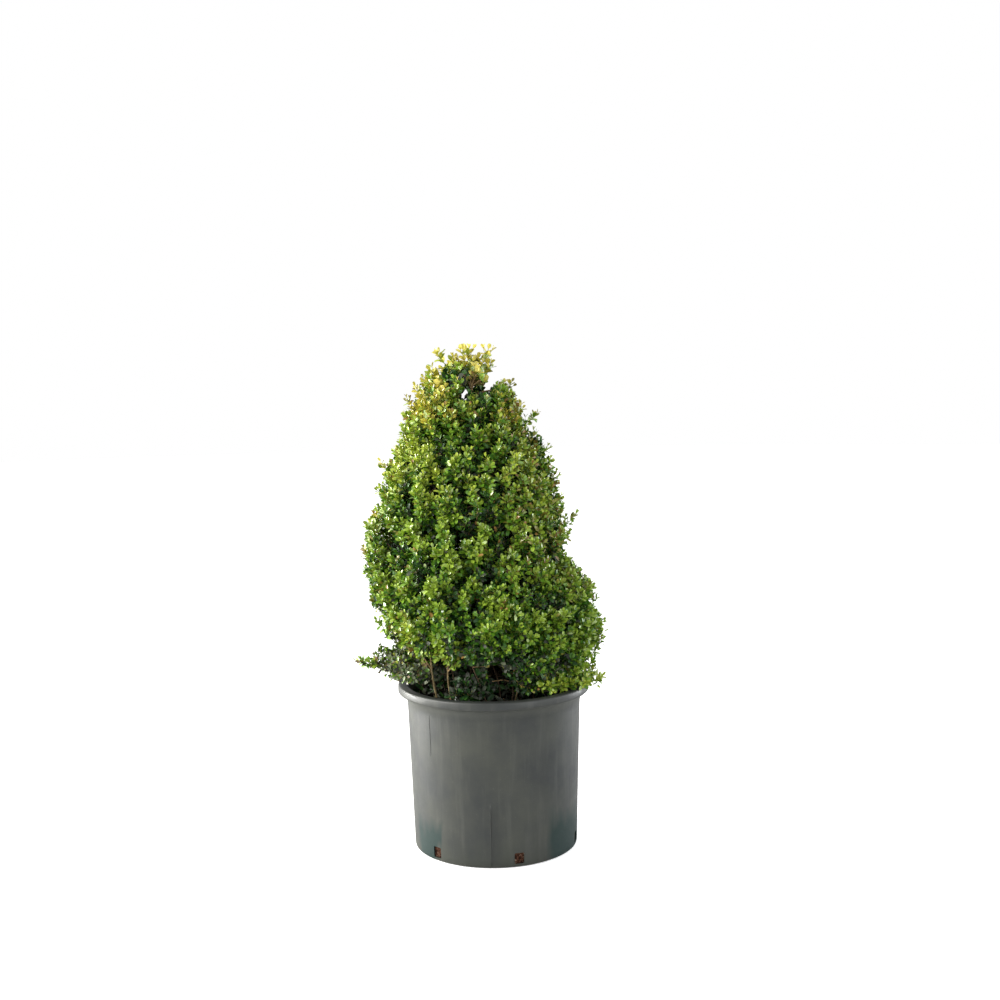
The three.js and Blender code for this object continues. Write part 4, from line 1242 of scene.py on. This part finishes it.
def evaluated_mesh(name, *spent):
    """The mesh of the first of these objects with its modifiers applied. The objects are removed."""
    graph = bpy.context.evaluated_depsgraph_get()
    made = bpy.data.meshes.new_from_object(spent[0].evaluated_get(graph), preserve_all_data_layers=True,
                                           depsgraph=graph)
    for piece in spent:
        bpy.data.objects.remove(piece)
    made.name = name
    return made


def twig_paths(name, twigs):
    points, edges, thickness, kinds = [], [], [], []
    for path, wood in twigs:
        first = len(points)
        points += [p for p, _ in path]
        thickness += [r * MM for _, r in path]
        kinds += [wood] * len(path)
        edges += [(first + i, first + i + 1) for i in range(len(path) - 1)]
    mesh = bare_mesh(name, points, edges)
    attribute(mesh, "thickness", "FLOAT", thickness)
    attribute(mesh, "wood", "INT", kinds)
    return mesh


def leaf_points(name, leaves):
    bases, blades, faces, lengths, tints = zip(*leaves)
    mesh = bare_mesh(name, bases)
    attribute(mesh, "blade", "FLOAT_VECTOR", blades)
    attribute(mesh, "face", "FLOAT_VECTOR", faces)
    attribute(mesh, "length", "FLOAT", [length * MM for length in lengths])
    attribute(mesh, "tint", "INT", tints)
    return mesh


def settle(piece, nodes, slot):
    """Puts a piece on the plant's one body, in the place of its CAD nodes"""
    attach(piece, "root")
    if nodes:
        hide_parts(*nodes)
    return piece


# Pot and soil


def shaped(name, shape, *materials):
    """A new smooth object of the mesh that was drawn in shape"""
    mesh = bpy.data.meshes.new(name)
    shape.to_mesh(mesh)
    shape.free()
    for material in materials:
        mesh.materials.append(material)
    mesh.shade_smooth()
    return new_object(name, mesh)


def turned_point(radius, turn, z):
    return radius * math.cos(turn) * MM, radius * math.sin(turn) * MM, z * MM


def lathe(name, profile, sides, *materials):
    """A closed turned shape from (radius, height) pairs that start and end on the axis"""
    shape = bmesh.new()
    rings = []
    for radius, z in profile:
        turns = [math.tau * i / sides for i in range(sides if radius else 1)]
        rings.append([shape.verts.new(turned_point(radius, turn, z)) for turn in turns])
    for low, high in zip(rings, rings[1:]):
        for i in range(sides):
            j = (i + 1) % sides
            corners = (low[i % len(low)], low[j % len(low)], high[j % len(high)], high[i % len(high)])
            shape.faces.new(list(dict.fromkeys(corners)))
    bmesh.ops.recalc_face_normals(shape, faces=shape.faces)
    return shaped(name, shape, *materials)


def pot_profile():
    """Up the outer wall, over the rolled rim and down the inner wall, as (radius, height)"""
    skirt, top, edge = POT_HEIGHT - RIM_DROP, POT_HEIGHT, RIM_RADIUS
    cove, mouth = skirt - RIM_COVE, wall_radius(POT_HEIGHT) - WALL
    foot = [(0, 1.2), (120, 1.2), (128, 0), (WALL_FOOT_RADIUS - 3, 0), (WALL_FOOT_RADIUS - 0.6, 1.2)]
    outer = [(wall_radius(z), z) for z in (4, 12, 30, 60, 100, 140, 180, 220, 240)]
    for turn in np.radians(range(0, 91, 15)):
        out = lerp(wall_radius(cove), edge - 3.4, 1 - math.cos(turn))
        outer.append((out, lerp(cove, skirt - 0.6, math.sin(turn))))
    rim = [(edge - 1.2, skirt - 0.6), (edge - 0.3, skirt + 0.4), (edge, skirt + 2.4), (edge - 0.2, top - 3.4),
           (edge - 1.0, top - 1.4), (edge - 2.6, top - 0.3), (edge - 5, top), (mouth + 4.6, top - 0.3),
           (mouth + 1.4, top - 1.6), (mouth, top - 4.6)]
    inner = [(wall_radius(z) - WALL, z) for z in (285, 250, 180, 90, 20, POT_FLOOR + 1.5)]
    return foot + outer + rim + inner + [(wall_radius(POT_FLOOR) - WALL - 2, POT_FLOOR), (0, POT_FLOOR)]


def drain_cutters():
    cutters = bmesh.new()
    size = Matrix.Diagonal((DRAIN_CUT * MM, DRAIN_WIDTH * MM, (DRAIN_HIGH - DRAIN_LOW) * MM, 1))
    place = Matrix.Translation((WALL_FOOT_RADIUS * MM, 0, (DRAIN_LOW + DRAIN_HIGH) / 2 * MM))
    for i in range(DRAIN_COUNT):
        turn = math.radians(DRAIN_FIRST_DEG + i * 360 / DRAIN_COUNT)
        bmesh.ops.create_cube(cutters, size=1, matrix=Matrix.Rotation(turn, 4, "Z") @ place @ size)
    bmesh.ops.bevel(cutters, geom=cutters.edges[:], offset=DRAIN_CORNER * MM, segments=3, profile=0.5,
                    affect="EDGES")
    return shaped("drain_cutters", cutters)


def pot_piece(material):
    pot, holes = lathe("pot_body", pot_profile(), 192), drain_cutters()
    cut = pot.modifiers.new("drain_holes", "BOOLEAN")
    cut.operation, cut.object, cut.solver = "DIFFERENCE", holes, "EXACT"
    made = evaluated_mesh("pot_body", pot, holes)
    made.materials.clear()
    made.materials.append(material)
    made.shade_smooth()
    made.set_sharp_from_angle(angle=math.radians(38))
    return new_object("pot_body", made)


def seam_ribs(material):
    """The mould's faint upright seams, which fade in and out at their ends"""
    shape = bmesh.new()
    for deg, low, high in SEAMS:
        rows = []
        for i in range(SEAM_STEPS + 1):
            z = lerp(low, high, i / SEAM_STEPS)
            proud = SEAM_PROUD * math.sin(math.pi * clamp(i / SEAM_STEPS, 0.02, 0.98)) ** 0.5
            row = []
            foot, top = (SEAM_FOOT, -SEAM_SUNK), (SEAM_TOP, proud)
            for side, out in ((-foot[0], foot[1]), (-top[0], top[1]), top, foot):
                turn = math.radians(deg) + side / WALL_FOOT_RADIUS
                row.append(shape.verts.new(turned_point(wall_radius(z) + out, turn, z)))
            rows.append(row)
        for a, b in zip(rows, rows[1:]):
            for i in range(4):
                j = (i + 1) % 4
                shape.faces.new((a[i], a[j], b[j], b[i]))
        shape.faces.new(rows[0][::-1])
        shape.faces.new(rows[-1])
    bmesh.ops.recalc_face_normals(shape, faces=shape.faces)
    return shaped("pot_seams", shape, material)


# The soil's unevenness as how fine and how high
SOIL_BUMPS = ((0.035, 3.2), (0.16, 2.2), (0.5, 0.9))


def soil_piece(material):
    low = POT_FLOOR + CLEAR
    profile = [(0, low)] + [(soil_side(z), z) for z in (low, 150, SOIL_EDGE_Z - 4)]
    profile += [(r, soil_height(r, 0)) for r in np.linspace(soil_side(SOIL_EDGE_Z) - 1, 3, 60)]
    soil = lathe("potting_soil", profile + [(0, SOIL_CROWN_Z)], 160, material)
    for vertex in soil.data.vertices:
        p = vertex.co / MM
        if p.z > SOIL_EDGE_Z - 2:
            vertex.co.z += MM * sum(noise.noise(p * fine) * high for fine, high in SOIL_BUMPS)
    return soil


# Stage, light and camera

# The floor is grey to the light that it throws back, and to the camera pale with a lift of its own
FLOOR_RADIUS, FLOOR_DROP, FLOOR_LIFT = 14, 0.0005, 0.42
FLOOR_GREY, FLOOR_SEEN = (0.36, 0.36, 0.36, 1), (0.9, 0.9, 0.9, 1)


def stage_floor():
    shape = bmesh.new()
    bmesh.ops.create_circle(shape, cap_ends=True, segments=96, radius=FLOOR_RADIUS)
    look = Finish("pale_floor", Base_Color=FLOOR_GREY, Roughness=0.9)
    diffuse = look.add("ShaderNodeBsdfDiffuse", {0: FLOOR_SEEN})
    lift = look.add("ShaderNodeEmission", {0: (1, 1, 1, 1), 1: FLOOR_LIFT})
    both = look.add("ShaderNodeAddShader", {0: diffuse, 1: lift})
    plain = Wired(look, look.shader.outputs[0])
    shown = look.add("ShaderNodeMixShader", {0: look.camera_ray(), 1: plain, 2: both})
    look.join(shown, look.tree.nodes["Material Output"].inputs[0])
    floor = shaped("floor", shape, look.material)
    floor.location.z = -FLOOR_DROP


def sky():
    """White behind the object, and for the light a soft sky that is brighter overhead"""
    world = bpy.data.worlds.new("studio")
    bpy.context.scene.world = world
    world.use_nodes = True
    graph = Graph(world.node_tree)
    across, _, up = graph.split(graph.add("ShaderNodeTexCoord", out=0))
    level = graph.ramp(across * -0.5 + 0.5, (0.0, (1.7, 1.72, 1.76, 1)), (0.22, (0.85, 0.87, 0.9, 1)),
                       (0.5, (0.5, 0.51, 0.52, 1)), (0.75, (0.85, 0.84, 0.81, 1)),
                       (0.95, (2.8, 2.75, 2.6, 1)))
    glow = graph.mixed(graph.ramp(up, (0.25, 0.0), (0.9, 1.0)), level, (1.0, 1.02, 1.05, 1))
    shown = graph.mixed(graph.camera_ray(), glow, (1, 1, 1, 1))
    graph.join(shown, world.node_tree.nodes["Background"].inputs[0])


def lamp(name, place, size, power, colour, aim=(0, 0, 0.55)):
    light = bpy.data.lights.new(name, "AREA")
    light.shape, light.size, light.energy, light.color = "DISK", size, power, colour
    piece = bpy.data.objects.new(name, light)
    bpy.context.scene.collection.objects.link(piece)
    piece.location = place
    piece.rotation_euler = (Vector(aim) - Vector(place)).to_track_quat("-Z", "Y").to_euler()


def camera():
    """The eye, pitch, yaw, roll and lens that fit the pot's rim and foot in the picture"""
    pitch, yaw, roll = math.radians(5.251), math.radians(0.435), math.radians(-1.025)
    level = Vector((math.sin(yaw), math.cos(yaw), 0))
    ahead = level * math.cos(pitch) - Vector((0, 0, math.sin(pitch)))
    right = Vector((math.cos(yaw), -math.sin(yaw), 0))
    up = right.cross(ahead)
    across = right * math.cos(roll) + up * math.sin(roll)
    above = up * math.cos(roll) - right * math.sin(roll)
    data = bpy.data.cameras.new("camera")
    data.lens, data.sensor_width = 47.29, 36
    eye = bpy.data.objects.new("camera", data)
    bpy.context.scene.collection.objects.link(eye)
    eye.matrix_world = Matrix.Translation(EYE * MM) @ Matrix((across, above, -ahead)).transposed().to_4x4()
    bpy.context.scene.camera = eye


# Assembly


def studio():
    camera()
    stage_floor()
    sky()
    lamp("key", (-2.9, -1.3, 1.6), 1.2, 105, (1.0, 0.98, 0.94))
    lamp("rim", (-2.3, 1.0, 1.2), 0.9, 60, (1.0, 0.98, 0.92))
    lamp("fill", (2.0, -2.3, 0.9), 1.8, 22, (0.97, 0.99, 1.0))
    lamp("pot_left", (-1.5, 0.35, 0.3), 0.6, 26, (1.0, 0.99, 0.97), (0, 0, 0.15))
    lamp("pot_right", (1.5, 0.7, 0.35), 0.6, 12, (0.97, 0.99, 1.0), (0, 0, 0.15))
    bpy.context.scene.view_settings.view_transform = "Standard"


def pot_and_soil(leaves):
    plastic = pot_plastic()
    settle(pot_piece(plastic), ["pot"], "pot")
    settle(seam_ribs(plastic), [], "pot")
    soil = settle(soil_piece(potting_mix()), ["soil"], "soil")
    settle(grown("bark_chips", soil.data.copy(), chip_maker(bark_chips())), [], "soil")
    litter = leaf_points("fallen_leaves", fallen_leaves())
    settle(grown("fallen_leaves", litter, leaves), [], "shaded_foliage")


def trunk_and_boughs():
    old_wood = bark("bark_old", 0x2c241b, 0x75654c, 0x6f6c58, 1, on_grain=True)
    stem_wood = bark("bark_stem", 0x4a3c29, 0x9c8a62, 0x7d7858, 1.6, on_grain=True)
    limbs = []
    for name in LIMBS:
        path, radii = limb_path(name, 200 if name == "trunk" else 64)
        limbs.append((list(zip(path, radii)), int(name.startswith("stem"))))
    mesh = twig_paths("trunk_and_boughs", limbs)
    settle(grown("trunk_and_boughs", mesh, limb_maker([old_wood, stem_wood])), list(LIMBS), "bark")


def growth_of_masses():
    growths = {name: dense_mass(name, mass) for name, mass in MASSES.items()}
    for name, mass in MASSES.items():
        if "sector" in mass:
            underside(mass, growths[name])
            bare_stems(mass, growths[name])
    growths.update({name: open_spray(spec) for name, spec in SPRAYS.items()})
    growths["skirt_left"] = low_clump()
    return growths


FOLIAGE_SLOTS = {"crown_upper": "young_foliage", "crown_tip": "young_foliage", "skirt_left": "shaded_foliage",
                 "skirt_front": "shaded_foliage"}
THINNEST_BRANCH = 1


def foliage(leaves):
    twig_wood = bark("bark_twig", 0x5e4832, 0xb59a6e, 0x94896a, 2.5)
    young_wood = bark("bark_young", 0x55642a, 0x93994a, 0x7d6b3a, 3)
    # A darker copy of the twig bark for the stems in shade: painted shade
    painted_shade_wood = bark("bark_shaded", 0x211a14, 0x5a4a36, 0x4a4636, 2.5)
    twigs = twig_maker([twig_wood, young_wood, painted_shade_wood])
    for name, growth in growth_of_masses().items():
        thick = [twig for twig in growth.twigs if twig[0][0][1] > THINNEST_BRANCH]
        fine = [twig for twig in growth.twigs if twig[0][0][1] <= THINNEST_BRANCH]
        for title, paths, sides in (("branches_" + name, thick, 5), ("twigs_" + name, fine, 3)):
            settle(grown(title, twig_paths(title, paths), twigs, Sides=sides), [name], "bark")
        width = TIP_LEAF_WIDTH if name == "crown_tip" else LEAF_WIDTH
        for layer, spots in growth.leaves.items():
            if spots:
                title = f"{layer}_leaves_{name}"
                leafage = grown(title, leaf_points(title, spots), leaves, Width=width)
                settle(leafage, [name], FOLIAGE_SLOTS.get(name, "foliage"))


studio()
all_leaves = leaf_maker(leaf_finishes())
pot_and_soil(all_leaves)
trunk_and_boughs()
foliage(all_leaves)
